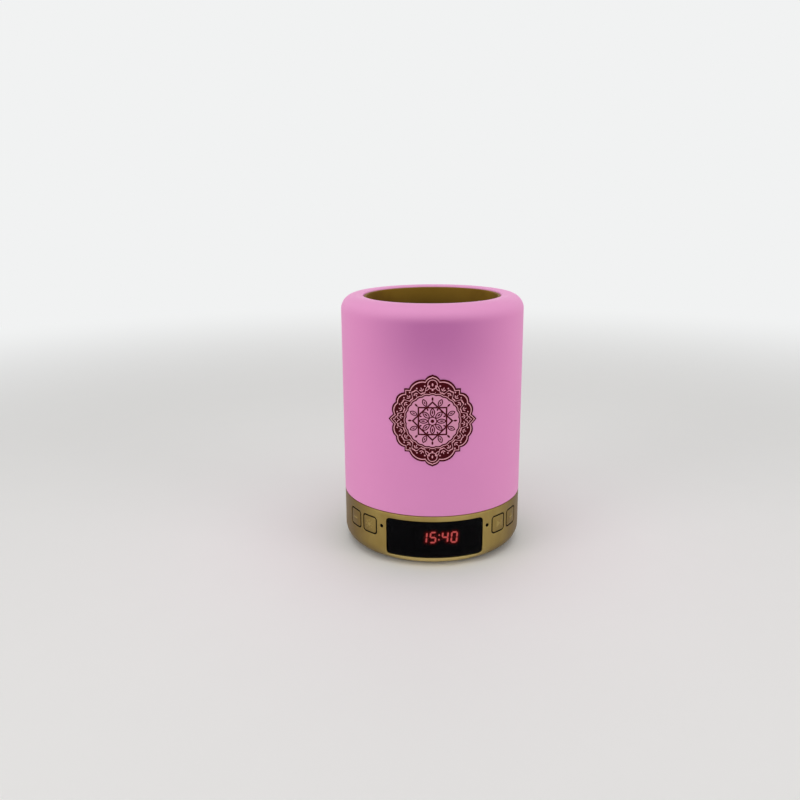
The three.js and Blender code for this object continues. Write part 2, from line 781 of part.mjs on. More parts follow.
// A button cap cut from the base's own curve, with catches above and below and a stem behind.
function buttonCap() {
  const height = buttonTop - buttonBottom - 2 * buttonGap;
  const width = buttonWidth - 2 * buttonGap;
  const catchOuter = innerRadius - seatGap;
  const catchInner = catchOuter - buttonFlangeThickness;
  const faceShape = roundedRectangle(width, height, buttonCorner - buttonGap);
  const face = common(
    ring(catchInner, bodyRadius, 0, seamHeight),
    frontPrism(faceShape, 0, bodyRadius + overrun, buttonCentre),
  );
  const catchHeight = buttonTop - buttonBottom + 2 * buttonFlangeReach;
  const catches = common(
    ring(catchInner, catchOuter, 0, seamHeight),
    frontPrism(roundedRectangle(width, catchHeight, buttonCorner), 0, bodyRadius, buttonCentre),
  );
  const stemEnd = catchInner - buttonStemLength;
  return join(face, catches, radialPin(buttonStemRadius, stemEnd, catchOuter, buttonCentre));
}

const buttonStemEnd = innerRadius - seatGap - buttonFlangeThickness - buttonStemLength;
const switchFace = buttonStemEnd - buttonTravel - 2 * seatGap;
const plungerOuter = buttonStemEnd - seatGap;
const plungerInner = plungerOuter - plungerLength;
const pocketFloor = plungerInner - buttonTravel - seatGap;

function switchBody() {
  const half = switchWidth / 2;
  const [bottom, top] = [hangingTop - switchHeight, hangingTop];
  const body = block(-half, half, -switchFace, switchDepth - switchFace, bottom, top);
  return cut(body, radialPin(plungerRadius + seatGap, pocketFloor, switchFace + overrun, buttonCentre));
}

// A socket with its tongue, open to the rear.
function usbPort() {
  const face = innerRadius - usbSetback;
  const back = face - usbDepth;
  const outside = frontPrism(roundedRectangle(usbWidth, usbHeight, usbHeight / 2.1), back, face, usbCentre);
  const [width, height] = [usbWidth - 2 * usbShell, usbHeight - 2 * usbShell];
  const cavity = roundedRectangle(width, height, height / 2.1);
  const inside = frontPrism(cavity, back + usbDepth / 5, face + overrun, usbCentre);
  const half = usbTongueThickness / 2;
  const tongueWidth = width - height;
  const [tongueBack, tongueFace] = [-back - usbDepth / 10, -face + usbDepth / 8];
  const tongue = block(-tongueWidth / 2, tongueWidth / 2, tongueFace, tongueBack, usbCentre - half,
    usbCentre + half);
  return join(cut(outside, inside), tongue);
}

function cardSlot() {
  const face = innerRadius - cardSetback;
  const half = cardBodyWidth / 2;
  const [bottom, top] = [hangingTop - cardBodyHeight, hangingTop];
  const body = block(-half, half, -face, cardBodyDepth - face, bottom, top);
  const slotHalf = cardSlotWidth / 2;
  const [slotBottom, slotTop] = [cardCentre - cardSlotHeight / 2, cardCentre + cardSlotHeight / 2];
  const slotBack = (5 * cardBodyDepth) / 6 - face;
  return cut(body, block(-slotHalf, slotHalf, -face - overrun, slotBack, slotBottom, slotTop));
}

const powerFace = innerRadius - powerSetback;

function powerSwitchBody() {
  const half = powerBodyWidth / 2;
  const [bottom, top] = [hangingTop - powerBodyHeight, hangingTop];
  const body = block(-half, half, -powerFace, powerBodyDepth - powerFace, bottom, top);
  const slotHalf = (powerStemWidth + powerTravel) / 2 + seatGap;
  const slotHeight = powerStemHeight / 2 + seatGap;
  const slotFloor = powerStemDepth + seatGap - powerFace;
  return cut(body, block(-slotHalf, slotHalf, -powerFace - overrun, slotFloor, powerCentre - slotHeight,
    powerCentre + slotHeight));
}

// The slider of the power switch, at rest at its off end, with ridges for a fingertip.
function powerSwitchKnob() {
  const shift = -powerTravel / 2;
  const face = bodyRadius + powerKnobProud;
  const back = powerFace + seatGap;
  const knobHalf = powerKnobWidth / 2;
  const knobRise = powerKnobHeight / 2;
  const knob = block(shift - knobHalf, shift + knobHalf, -face, powerKnobLip - face,
    powerCentre - knobRise, powerCentre + knobRise);
  const stemHalf = powerStemWidth / 2;
  const stemRise = powerStemHeight / 2;
  const inKnob = powerKnobLip / 2 - face;
  const stem = block(shift - stemHalf, shift + stemHalf, inKnob, powerStemDepth - powerFace,
    powerCentre - stemRise, powerCentre + stemRise);
  const web = block(shift - knobHalf, shift + knobHalf, inKnob, -back,
    powerCentre - stemRise, powerCentre + stemRise);
  const grooves = [-1, 0, 1].map((i) => {
    const centre = shift + 2 * i * powerRidgeWidth;
    const [from, to] = [centre - powerRidgeWidth / 2, centre + powerRidgeWidth / 2];
    return block(from, to, -face - overrun, powerRidgeDepth - face, powerCentre - powerKnobHeight,
      powerCentre + powerKnobHeight);
  });
  return cut(join(knob, stem, web), ...grooves);
}

// The tube that carries the recess and stands on the deck by an inward foot.
function innerColumn() {
  const inside = columnRadius - columnWall;
  return revolve([
    [inside - columnFootWidth, columnFoot],
    [columnRadius, columnFoot],
    [columnRadius, columnTop],
    [inside, columnTop],
    [inside, columnFoot + columnFootThickness],
    [inside - columnFootWidth, columnFoot + columnFootThickness],
  ], columnSegments);
}

// The ring board with its light packages.
function lightBoard() {
  const board = ring(lightBoardInner, lightBoardOuter, columnFoot, columnFoot + lightBoardThickness,
    columnSegments);
  const half = lightSize / 2;
  const circle = (lightBoardInner + lightBoardOuter) / 2;
  const middle = columnFoot + lightBoardThickness / 2;
  const top = columnFoot + lightBoardThickness + lightHeight;
  const lights = Array.from({ length: lightCount }, (_, i) => {
    return turnTo(block(-half, half, -circle - half, half - circle, middle, top), (360 * i) / lightCount);
  });
  return join(board, ...lights);
}

const speakerHoles = (bottom, top) => speakerScrewAzimuths.map((azimuth) => {
  return onCircle(screwHole(bottom - overrun, top + overrun), speakerScrewCircle, azimuth);
});

// The loudspeaker's frame: flange, open cone-shaped cage, landing for the spider and a base ring.
function speakerBasket() {
  const wallTop = flangeInner + basketWall;
  const cage = revolve([
    [magnetHole, basketBottom],
    [basketBaseOuter, basketBottom],
    [wallTop, flangeUnderside],
    [flangeOuter, flangeUnderside],
    [flangeOuter, flangeTop],
    [flangeInner, flangeTop],
    [flangeInner, flangeUnderside],
    [basketBaseOuter, landingTop],
    [basketLandingInner, landingTop],
    [basketLandingInner, basketBaseTop],
    [magnetHole, basketBaseTop],
  ], innerSegments);
  const height = (landingTop + flangeUnderside) / 2;
  const windows = [0, 90, 180, 270].map((azimuth) => {
    const shape = roundedRectangle(basketWindowWidth, basketWindowHeight, basketWindowHeight / 4);
    return turnTo(frontPrism(shape, basketLandingInner, flangeOuter, height), azimuth);
  });
  return cut(cage, ...windows, ...speakerHoles(flangeUnderside, flangeTop));
}

const gasketRing = () => {
  const bottom = gasketTop - gasketThickness;
  const body = ring(gasketInner, flangeOuter, bottom, gasketTop, innerSegments);
  return cut(body, ...speakerHoles(bottom, gasketTop));
};

// The magnet's back plate with the pole that stands in the voice coil.
function speakerYoke() {
  return revolve([
    [0, yokePlateTop - yokePlateThickness],
    [yokePlateRadius, yokePlateTop - yokePlateThickness],
    [yokePlateRadius, yokePlateTop],
    [poleRadius, yokePlateTop],
    [poleRadius, topPlateTop],
    [0, topPlateTop],
  ], innerSegments);
}

function speakerCone() {
  return revolve([
    [coneNeckRadius, coneNeckHeight],
    [coneRimRadius, coneRimHeight],
    [coneRimRadius, coneRimHeight + coneThickness],
    [coneNeckRadius, coneNeckHeight + coneThickness],
  ], innerSegments);
}

const surroundInner = coneRimRadius + seatGap;
const surroundOuter = flangeInner - seatGap;

// A half roll between the cone's rim and the frame.
function speakerSurround() {
  const middle = (surroundInner + surroundOuter) / 2;
  const halfWidth = (surroundOuter - surroundInner) / 2;
  const inner = 1 - surroundThickness / halfWidth;
  const roll = (share, rise) => [0, 45, 90, 135, 180].map((degrees) => {
    const angle = toRadians(degrees);
    return [middle + share * halfWidth * Math.cos(angle), coneRimHeight + rise * Math.sin(angle)];
  });
  return revolve([
    ...roll(1, surroundRollHeight),
    ...roll(inner, surroundRollHeight - surroundThickness).reverse(),
  ], innerSegments);
}

// The corrugated disc that keeps the voice coil centred.
function speakerSpider() {
  const steps = 5;
  const line = (rise) => Array.from({ length: steps + 1 }, (_, i) => {
    const radius = coneNeckRadius + ((spiderOuter - coneNeckRadius) * i) / steps;
    const wave = i > 0 && i < steps - 1 ? spiderWave * (i % 2) : 0;
    return [radius, spiderHeight + wave + rise];
  });
  return revolve([...line(0), ...line(spiderThickness).reverse()], innerSegments);
}

function dustCap() {
  const slope = coneDepth / (coneRimRadius - coneNeckRadius);
  const base = coneNeckHeight + coneThickness + slope * (dustCapRadius - coneNeckRadius) + seatGap;
  const dome = (inset) => [0, 30, 60, 90].map((degrees) => {
    const angle = toRadians(degrees);
    const sink = degrees ? inset : 0;
    return [(dustCapRadius - inset) * Math.cos(angle), base + (dustCapHeight - sink) * Math.sin(angle)];
  }).map(([radius, height], i) => [i === 3 ? 0 : radius, height]);
  return revolve([...dome(0).reverse(), ...dome(dustCapThickness)], innerSegments);
}

const voiceCoil = () => {
  const top = coneNeckHeight + coneThickness;
  return ring(coilInner, coilOuter, top - coilLength, top, innerSegments);
};

// Where a point of a flat drawing lands when the drawing is wrapped round the shade.
const wrap = (along, up) => new THREE.Vector2(bodyRadius * Math.sin(along / bodyRadius), up);

// How far from the middle a circle reaches, along a line that leaves the middle at an angle
// to the circle's own direction, or nothing where the line misses the circle.
function circleReach(farthest, radius, degrees) {
  const centre = farthest - radius;
  const angle = toRadians(degrees);
  const aside = Math.abs(centre * Math.sin(angle));
  return aside < radius ? centre * Math.cos(angle) + Math.sqrt(radius ** 2 - aside ** 2) : 0;
}

// The medallion's radius at an angle from its top, the same in all four quarters: a round head,
// a shoulder, a square corner, two side lobes and a tip, each where it reaches farthest.
function medallionEdge(fromTop) {
  const angle = toRadians(fromTop);
  const tipShare = Math.max(0, 1 - (90 - fromTop) / medallionTipWidthDegrees);
  const lobes = medallionLobeDegrees.map(
    (place) => circleReach(medallionLobeReach, medallionLobe, fromTop - place),
  );
  return Math.max(
    medallionRadius + medallionTip * tipShare,
    circleReach(medallionHeadReach, medallionHead, fromTop),
    circleReach(medallionShoulderReach, medallionShoulder, fromTop - medallionShoulderDegrees),
    Math.min(medallionCornerAcross / Math.sin(angle), medallionCornerUp / Math.cos(angle)),
    ...lobes,
  );
}

function medallionOutline(inset) {
  const points = Array.from({ length: medallionSegments }, (_, i) => {
    const degrees = (360 * i) / medallionSegments;
    const angle = toRadians(degrees);
    const radius = medallionEdge(Math.abs(90 - (degrees % 180))) - inset;
    return wrap(radius * Math.cos(angle), radius * Math.sin(angle));
  });
  return new THREE.Shape(points);
}

const medallionRound = (radius) => {
  const points = Array.from({ length: medallionRoundSegments }, (_, i) => {
    const angle = (2 * Math.PI * i) / medallionRoundSegments;
    return wrap(radius * Math.cos(angle), radius * Math.sin(angle));
  });
  return new THREE.Shape(points);
};

function medallionStar() {
  const corners = Array.from({ length: 2 * medallionStarPoints }, (_, i) => {
    const radius = medallionStarRadius * (i % 2 ? medallionStarInnerShare : 1);
    const angle = (Math.PI * i) / medallionStarPoints;
    return wrap(radius * Math.cos(angle), radius * Math.sin(angle));
  });
  return new THREE.Shape(corners);
}

// A thin curved plate that carries a raised border ring and a raised star.
function medallion() {
  const back = bodyRadius + adhesiveGap;
  const level = back + medallionPlate;
  const top = level + medallionRelief;
  const low = medallionHeight - 2 * medallionRadius;
  const high = medallionHeight + 2 * medallionRadius;
  const layer = (shape, outer) => common(
    ring(back, outer, low, high),
    frontPrism(shape, bodyRadius / 2, top + overrun, medallionHeight),
  );
  const raisedRing = cut(
    layer(medallionOutline(medallionBorder), top),
    frontPrism(medallionRound(medallionGroundRadius), bodyRadius / 2, top + overrun, medallionHeight),
  );
  const star = cut(
    layer(medallionStar(), top),
    frontPrism(medallionRound(medallionBossRadius), bodyRadius / 2, top + overrun, medallionHeight),
  );
  return join(layer(medallionOutline(0), level), raisedRing, star);
}

// A round part that faces a pinhole from behind the wall.
function behindPinhole(radius, length) {
  const face = innerRadius - seatGap;
  return radialPin(radius, face - length, face, pinholeHeight, 2 * smallSegments);
}

addPart('base_shell', baseShell(), finishes.bronze);
addPart('bottom_plate', bottomPlate(), finishes.blackPlastic);
addPart('diffuser_shade', diffuserShade(), finishes.diffuser);
addPart('top_bezel', topBezel(), finishes.darkBronze);
addPart('touch_grille', touchGrille(), finishes.steel);
addPart('display_window', displayWindow(), finishes.smokedPane);
addPart('display_module', displayModule(), finishes.blackPlastic, turned(displayAzimuth));
addPart('medallion', medallion(), finishes.maroon);
addPart('main_board', mainBoard(), finishes.circuitBoard);
addPart('battery_cell', batteryCell(), finishes.cellWrap);
addPart('inner_column', innerColumn(), finishes.whitePlastic);
addPart('light_board', lightBoard(), finishes.lightBoard);
addPart('usb_port', usbPort(), finishes.steel, turned(usbAzimuth));
addPart('card_slot', cardSlot(), finishes.steel, turned(cardAzimuth));
addPart('power_switch_body', powerSwitchBody(), finishes.steel, turned(powerAzimuth));
addPart('power_switch_knob', powerSwitchKnob(), finishes.blackPlastic, turned(powerAzimuth));
addPart('microphone', behindPinhole(microphoneRadius, microphoneLength), finishes.steel,
  turned(-pinholeAzimuth));
addPart('status_light', behindPinhole(statusLightRadius, statusLightLength), finishes.lightBoard,
  turned(pinholeAzimuth));

plateScrewAzimuths.forEach((azimuth, i) => {
  const seat = counterboreDepth - seatGap;
  const screw = onCircle(screwUp(seat, plateScrewLength), plateScrewCircle, azimuth);
  addPart(`bottom_screw_${i + 1}`, screw, finishes.steel);
});
footAzimuths.forEach((azimuth, i) => {
  const foot = disc(footRadius, -footStand, footThickness - footStand, 2 * smallSegments);
  addPart(`rubber_foot_${i + 1}`, onCircle(foot, footCircle, azimuth), finishes.rubber);
});
boardScrewAzimuths.forEach((azimuth, i) => {
  const screw = onCircle(screwUp(boardUnderside - seatGap, boardScrewLength), boardScrewCircle, azimuth);
  addPart(`board_screw_${i + 1}`, screw, finishes.steel);
});
speakerScrewAzimuths.forEach((azimuth, i) => {
  const screw = screwUp(flangeUnderside - seatGap, speakerScrewLength);
  addPart(`speaker_screw_${i + 1}`, onCircle(screw, speakerScrewCircle, azimuth), finishes.steel);
});
buttonAzimuths.forEach((azimuth, i) => {
  const place = turned(azimuth);
  addPart(`button_cap_${i + 1}`, buttonCap(), finishes.bronze, place);
  const plunger = radialPin(plungerRadius, plungerInner, plungerOuter, buttonCentre);
  addPart(`switch_plunger_${i + 1}`, plunger, finishes.blackPlastic, place);
  addPart(`switch_body_${i + 1}`, switchBody(), finishes.steel, place);
});

addPart('speaker_gasket', gasketRing(), finishes.rubber);
addPart('speaker_basket', speakerBasket(), finishes.ferrite);
addPart('speaker_top_plate', ring(polePlateHole, topPlateRadius, topPlateTop - topPlateThickness,
  topPlateTop, innerSegments), finishes.steel);
addPart('speaker_magnet', ring(magnetHole, magnetRadius, magnetTop - magnetThickness, magnetTop,
  innerSegments), finishes.ferrite);
addPart('speaker_yoke', speakerYoke(), finishes.steel);
addPart('speaker_surround', speakerSurround(), finishes.rubber);
addPart('speaker_spider', speakerSpider(), finishes.fabric);
addPart('speaker_cone', speakerCone(), finishes.paper);
addPart('dust_cap', dustCap(), finishes.paper);
addPart('voice_coil', voiceCoil(), finishes.copper);

export default lamp;
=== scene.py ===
# Dresses the speaker lamp: a pink shade on a bronze base with a clock, and a loudspeaker under
# the open top. Metres, +Z up, the front faces -Y. An azimuth is an angle round the lamp, from
# the front towards +X, so a point at radius r and azimuth a lies at (r sin a, -r cos a).

import json
import math

import bmesh
import bpy
import numpy as np
from bpy.props import FloatProperty, FloatVectorProperty, IntProperty, PointerProperty
from bpy.types import Operator, Panel, PropertyGroup
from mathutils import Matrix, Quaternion, Vector
from mathutils.geometry import delaunay_2d_cdt

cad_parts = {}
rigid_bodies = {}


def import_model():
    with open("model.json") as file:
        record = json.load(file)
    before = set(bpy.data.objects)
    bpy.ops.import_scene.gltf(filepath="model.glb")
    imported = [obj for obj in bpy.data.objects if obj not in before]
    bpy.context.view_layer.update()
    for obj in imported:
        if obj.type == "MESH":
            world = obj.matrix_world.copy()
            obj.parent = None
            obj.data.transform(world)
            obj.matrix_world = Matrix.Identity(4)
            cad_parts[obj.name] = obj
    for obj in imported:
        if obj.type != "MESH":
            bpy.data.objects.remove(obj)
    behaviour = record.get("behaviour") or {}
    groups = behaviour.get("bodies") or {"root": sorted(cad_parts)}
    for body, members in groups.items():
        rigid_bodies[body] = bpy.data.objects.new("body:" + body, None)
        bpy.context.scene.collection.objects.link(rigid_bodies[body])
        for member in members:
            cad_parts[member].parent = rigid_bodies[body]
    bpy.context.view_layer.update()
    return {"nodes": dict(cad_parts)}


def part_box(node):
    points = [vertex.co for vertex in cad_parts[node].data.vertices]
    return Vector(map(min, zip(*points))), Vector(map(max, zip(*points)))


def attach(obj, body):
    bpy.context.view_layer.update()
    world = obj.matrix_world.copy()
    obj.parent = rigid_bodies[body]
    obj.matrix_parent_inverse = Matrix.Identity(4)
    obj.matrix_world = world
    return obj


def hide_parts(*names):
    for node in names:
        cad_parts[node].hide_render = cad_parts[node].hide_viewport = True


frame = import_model()

bl_info = {
    "name": "Speaker Lamp",
    "version": (1, 0, 0),
    "blender": (4, 5, 0),
    "location": "3D View > Sidebar > Speaker Lamp",
    "description": "Builds the visible pieces and finishes of a speaker lamp on its packed frame",
    "category": "Object",
}

MM = 0.001
WELD_DISTANCE = 1e-6
SLIVER = 1e-8
PLANE_TOLERANCE = 1e-9
WALL_START = math.radians(-110)
BACKDROP = "f1f2f2"

base_low, base_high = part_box("base_shell")
shade_low, shade_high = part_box("diffuser_shade")
bezel_low, bezel_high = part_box("top_bezel")
grille_low, grille_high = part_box("touch_grille")
plate_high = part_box("bottom_plate")[1]

# The openings behind: azimuth in degrees, then height, width, height of the hole and corner in
# millimetres, then steps along a side and round a corner.
CHARGING_OPENING = (180, 20.35, 11.4, 6.0, 1.8, 10, 6)
CARD_OPENING = (158, 21.0, 12.6, 2.4, 0.6, 10, 4)
SWITCH_OPENING = (202, 19.8, 6.0, 3.4, 0.85, 6, 4)

# Which of a digit's seven bars are lit to show 15:40, in the order of the bars.
LIT_BARS = ("0110000", "1011011", "0110011", "1111110")

# Finishes of the carried-over nodes: two screen colours, roughness, what else differs from the
# usual, and the nodes that have it, without their numbers.
INNER_FINISHES = {
    "black_plastic": ("161618", "202023", 0.5, {},
                      "bottom_plate power_switch_knob switch_plunger switch_body"),
    "white_plastic": ("e4e1d8", "d9d5ca", 0.55, {}, "inner_column"),
    "bright_steel": ("a9abad", "8d9093", 0.32,
                     {"metallic": 1.0, "scale": 900.0, "stretch": (1, 1, 6)},
                     "usb_port card_slot microphone board_screw speaker_top_plate speaker_yoke"),
    "black_steel": ("2a2a2c", "3a3a3d", 0.45, {"metallic": 0.7},
                    "power_switch_body bottom_screw speaker_screw speaker_basket"),
    "ferrite": ("2b2b2d", "38383a", 0.7, {"metallic": 0.2}, "speaker_magnet"),
    "black_rubber": ("1b1b1c", "262627", 0.85, {"grain": 0.00006}, "rubber_foot speaker_surround"),
    "black_foam": ("1f1f20", "2c2c2d", 0.95, {"grain": 0.0002}, "speaker_gasket"),
    "black_paper": ("26241f", "35322b", 0.85, {}, "speaker_cone dust_cap"),
    "copper": ("b06a38", "8f522a", 0.35,
               {"metallic": 0.9, "scale": 1500.0, "stretch": (1, 1, 12)}, "voice_coil"),
    "cell_wrap": ("3a6fae", "34639c", 0.35, {"Coat_Weight": 0.4}, "battery_cell"),
    "clear_resin": ("e8e6dc", "cfd4c8", 0.2, {}, "status_light"),
}

# The lights: name, the property that holds its power, place, and width and height in metres.
LIGHTS = (
    ("left_light", "left", (-0.75, -0.55, 0.35), (0.45, 0.7)),
    ("right_light", "right", (0.75, -0.5, 0.35), (0.45, 0.7)),
    ("front_light", "front", (0.0, -1.1, 0.5), (0.8, 0.5)),
    ("top_light", "top", (0.0, -0.1, 0.95), (0.9, 0.9)),
    ("back_light", "front", (0.1, 1.1, 0.5), (0.9, 0.5)),
)


def screen(code):
    """Linear red, green and blue of a screen colour such as d780b4, by the standard curve."""
    values = np.array([int(code[i:i + 2], 16) for i in (0, 2, 4)]) / 255
    low = values / 12.92
    high = ((values + 0.055) / 1.055) ** 2.4
    return tuple(float(v) for v in np.where(values <= 0.04045, low, high))


def length(name, description, default):
    """A property that holds a length in metres."""
    return FloatProperty(name=name, description=description, default=default,
                         min=0.0, precision=5, subtype="DISTANCE", unit="LENGTH")


def degrees(name, description, default):
    """A property that holds an angle, given in degrees and kept in radians."""
    return FloatProperty(name=name, description=description, default=math.radians(default),
                         subtype="ANGLE", unit="ROTATION")


def colour(name, description, code):
    """A property that holds a colour, given as a hexadecimal screen colour."""
    return FloatVectorProperty(name=name, description=description, default=screen(code),
                               subtype="COLOR", size=3, min=0.0, max=1.0)


def amount(name, description, default):
    """A property that holds a plain number."""
    return FloatProperty(name=name, description=description, default=default, min=0.0)


class LampSizes(PropertyGroup):
    """Sizes of the shade, the recess and the base."""
    radius: length("Body radius", "Outside radius of shade and base", base_high.x)
    wall: length("Wall", "Wall of shade and base", 2.2 * MM)
    seam: length("Seam height", "Height of the base's upper edge", shade_low.z - 0.75 * MM)
    shade_bottom: length("Shade bottom", "Height of the shade's lower edge", shade_low.z - 0.4 * MM)
    crown: length("Crown height", "Height of the shade's top", shade_high.z)
    shoulder: length("Shoulder radius", "Rounding between side and crown", 7.5 * MM)
    crown_fall: length("Crown fall", "How far the crown falls to the opening", 0.4 * MM)
    opening: length("Opening radius", "Radius of the opening in the crown", 36.7 * MM)
    lip: length("Lip depth", "How far the shade's lip turns down", 5 * MM)
    lip_round: length("Lip rounding", "Rounding of the opening's edge", 0.5 * MM)
    base_bottom: length("Base underside", "Height of the base's underside", base_low.z)
    base_edge: length("Base edge", "Rounding of the base's lower edge", 7.5 * MM)
    base_opening: length("Base opening", "Radius of the opening that the bottom plate closes",
                         plate_high.x + 0.3 * MM)
    bezel_radius: length("Recess radius", "Radius outside the cup below the shade's lip", 35.6 * MM)
    bezel_wall: length("Recess wall", "Wall of the cup in the opening", 1.5 * MM)
    bezel_floor: length("Recess floor", "Height of the recess's floor", grille_low.z - 0.3 * MM)
    sound_hole: length("Sound hole", "Radius of the hole in the recess floor", 24.8 * MM)
    hole_radius: length("Grille hole", "Radius of one hole of the grille", 1.5 * MM)
    hole_pitch: length("Grille pitch", "Distance between holes of the grille", 4.4 * MM)
    columns: IntProperty(name="Columns", description="Steps round the lamp", default=256, min=64)


class PanelSizes(PropertyGroup):
    """Sizes of the clock pane, the display, the buttons and the other openings."""
    window_width: length("Window width", "Width of the clock window", 49.9 * MM)
    window_low: length("Window bottom", "Height of the window's lower edge", 5.1 * MM)
    window_high: length("Window top", "Height of the window's upper edge", 25.5 * MM)
    window_corner: length("Window corner", "Corner radius of the window", 2 * MM)
    pane_gap: length("Pane gap", "Clearance round the pane", 0.3 * MM)
    pane_inset: length("Pane inset", "How far the pane lies inside the base's surface", 0.3 * MM)
    pane_thickness: length("Pane thickness", "Thickness of the pane", 1.6 * MM)
    display_turn: degrees("Display azimuth", "Place of the display behind the pane", 3.0)
    display_width: length("Display width", "Width of the display", 25 * MM)
    display_tall: length("Display height", "Height of the display's case", 13.8 * MM)
    display_depth: length("Display depth", "Depth of the display's case", 6 * MM)
    display_face: length("Display face", "Radius of the display's face", 43.79 * MM)
    display_height: length("Display level", "Height of the middle of the digits", 15.1 * MM)
    digit_height: length("Digit height", "Height of a digit", 6.4 * MM)
    digit_width: length("Digit width", "Width of a digit", 3.6 * MM)
    digit_pitch: length("Digit pitch", "Distance between digits", 4.7 * MM)
    digit_lean: amount("Digit lean", "How far a digit leans for its height", 0.08)
    colon_space: length("Colon space", "Extra space for the colon", 1.6 * MM)
    bar_width: length("Bar width", "Width of a digit's bar", 0.85 * MM)
    bar_gap: length("Bar gap", "Gap between two bars", 0.16 * MM)
    button_width: length("Button width", "Width of a button's opening", 10.2 * MM)
    button_low: length("Button bottom", "Height of the buttons' lower edge", 14.1 * MM)
    button_high: length("Button top", "Height of the buttons' upper edge", 23.9 * MM)
    button_corner: length("Button corner", "Corner radius of a button's opening", 1.9 * MM)
    button_gap: length("Button gap", "Clearance round a button", 0.5 * MM)
    button_inner: degrees("Inner button", "Azimuth of the inner pair of buttons", 44.412)
    button_outer: degrees("Outer button", "Azimuth of the outer pair of buttons", 59.002)
    pinhole_turn: degrees("Pinhole azimuth", "Azimuth of the two pinholes", 34.6)
    pinhole_height: length("Pinhole height", "Height of the pinholes", 20.15 * MM)
    pinhole_radius: length("Pinhole radius", "Radius of a pinhole", 0.88 * MM)
    rim: length("Opening rim", "Rounding of the openings' edges", 0.35 * MM)


class MedallionSizes(PropertyGroup):
    """Sizes of the medallion on the front of the shade."""
    height: length("Height", "Height of its centre", 79.15 * MM)
    turn: degrees("Azimuth", "Azimuth of its centre", -1.7)
    spread: amount("Spread", "How large the drawing is laid out", 1.013)
    wrap: length("Wrap radius", "Radius on which its width is measured", shade_high.x)
    radius: length("Radius", "Radius between its lobes", 19.3 * MM)
    head: length("Head", "Radius of the round head at its top", 3.9 * MM)
    head_reach: length("Head reach", "How far the head reaches from the centre", 22.9 * MM)
    shoulder: length("Shoulder", "Radius of the shoulder beside the head", 7 * MM)
    shoulder_reach: length("Shoulder reach", "How far the shoulder reaches", 21.5 * MM)
    shoulder_turn: degrees("Shoulder angle", "Angle of the shoulder from the top", 19.5)
    corner_across: length("Corner width", "Place of the square corner across", 13.8 * MM)
    corner_up: length("Corner height", "Place of the square corner upwards", 16 * MM)
    lobe: length("Lobe", "Radius of a side lobe", 4.7 * MM)
    lobe_reach: length("Lobe reach", "How far a side lobe reaches", 21.1 * MM)
    lobe_upper: degrees("Upper lobe", "Angle of the upper side lobe from the top", 56)
    lobe_lower: degrees("Lower lobe", "Angle of the lower side lobe from the top", 72.5)
    tip: length("Tip", "How far the side tip stands out", 2.9 * MM)
    tip_width: degrees("Tip width", "Half of the angle that the side tip takes", 9)
    point: length("Point", "How far the point on the head stands out", 0.3 * MM)
    point_width: degrees("Point width", "Half of the angle that the point takes", 1.8)
    ground: length("Ground", "Radius of the plain field inside the ring", 13.4 * MM)
    overlap: length("Overlap", "How far the ring's inner edge lies inside that radius", 0.9 * MM)
    star: length("Star", "Radius of the star", 9.6 * MM)
    back: length("Back", "Radius of its back on the shade", 48.6 * MM)
    level: length("Level", "Radius of its plain field", 48.85 * MM)
    top: length("Top", "Radius of its raised lines", 49.08 * MM)


class FinishColours(PropertyGroup):
    """Colours of the visible finishes."""
    pink: colour("Pink", "Shade", "d180b1")
    # Deep pink: painted shade on the shade's front and back, and the medallion's random specks.
    pink_deep: colour("Deep pink", "Shade where less light reaches it", "a86194")
    # Light pink: the glow from inside and the lighter foot, and a painted highlight at the
    # shoulder.
    pink_light: colour("Light pink", "Shade where it is lit from inside", "e3a1ca")
    bronze: colour("Bronze", "Base and buttons", "937c42")
    # Light bronze: the base's own lighter clouds and flake, and a painted highlight on the raised
    # signs.
    bronze_light: colour("Light bronze", "Base where it catches light", "a79255")
    # Dark bronze: painted shade at the base's sides and on its rolled edge, the base's darker foot,
    # and the grille's own colour.
    bronze_dark: colour("Dark bronze", "Base low down and at its sides", "6d5528")
    # Bright bronze: a painted highlight on the rolled edge in front.
    bronze_edge_highlight: colour("Bright bronze", "Rolled edge of the base in front", "e0c983")
    # Gap: painted shade in the gaps round the buttons and openings.
    gap: colour("Gap", "Inside of the gaps round the buttons", "160f05")
    recess: colour("Recess", "Cup in the opening", "8a6a20")
    recess_worn: colour("Worn recess", "Cloudy patches of the cup", "74541a")
    recess_deep: colour("Deep recess", "Cup where less light reaches it", "4a3810")
    maroon: colour("Maroon", "Dark lines of the medallion", "42050f")
    salmon: colour("Salmon", "Light lines of the medallion", "e2a0ac")
    ground: colour("Medallion ground", "Plain field of the medallion", "da97b2")
    digit: colour("Digit red", "Glow of the clock", "ff2a22")


class StageSizes(PropertyGroup):
    """Camera and light."""
    azimuth: degrees("Camera azimuth", "Where the camera stands", -2.12)
    distance: length("Camera distance", "Distance of the camera from the lamp's axis", 0.43167)
    height: length("Camera height", "Height of the camera", 0.18963)
    pitch: degrees("Camera pitch", "How far the camera looks down", 14.59)
    yaw: degrees("Camera yaw", "How far the camera looks past the lamp's axis", 2.324)
    roll: degrees("Camera roll", "How far the camera is turned about its own view", -0.454)
    lens: amount("Lens", "Focal length in millimetres", 36.435)
    sensor: amount("Sensor", "Width of the camera's sensor in millimetres", 36.0)
    floor: colour("Floor", "Floor", "f5f4f2")
    left: amount("Left light", "Power of the left light", 1.95)
    right: amount("Right light", "Power of the right light", 1.4)
    front: amount("Front light", "Power of the lights in front and behind", 0.7)
    top: amount("Top light", "Power of the top light", 2.6)
    room: amount("Room light", "Strength of the room's light", 0.42)
    aim: length("Light aim", "Height on the lamp that the lights face", 70 * MM)


# Surfaces

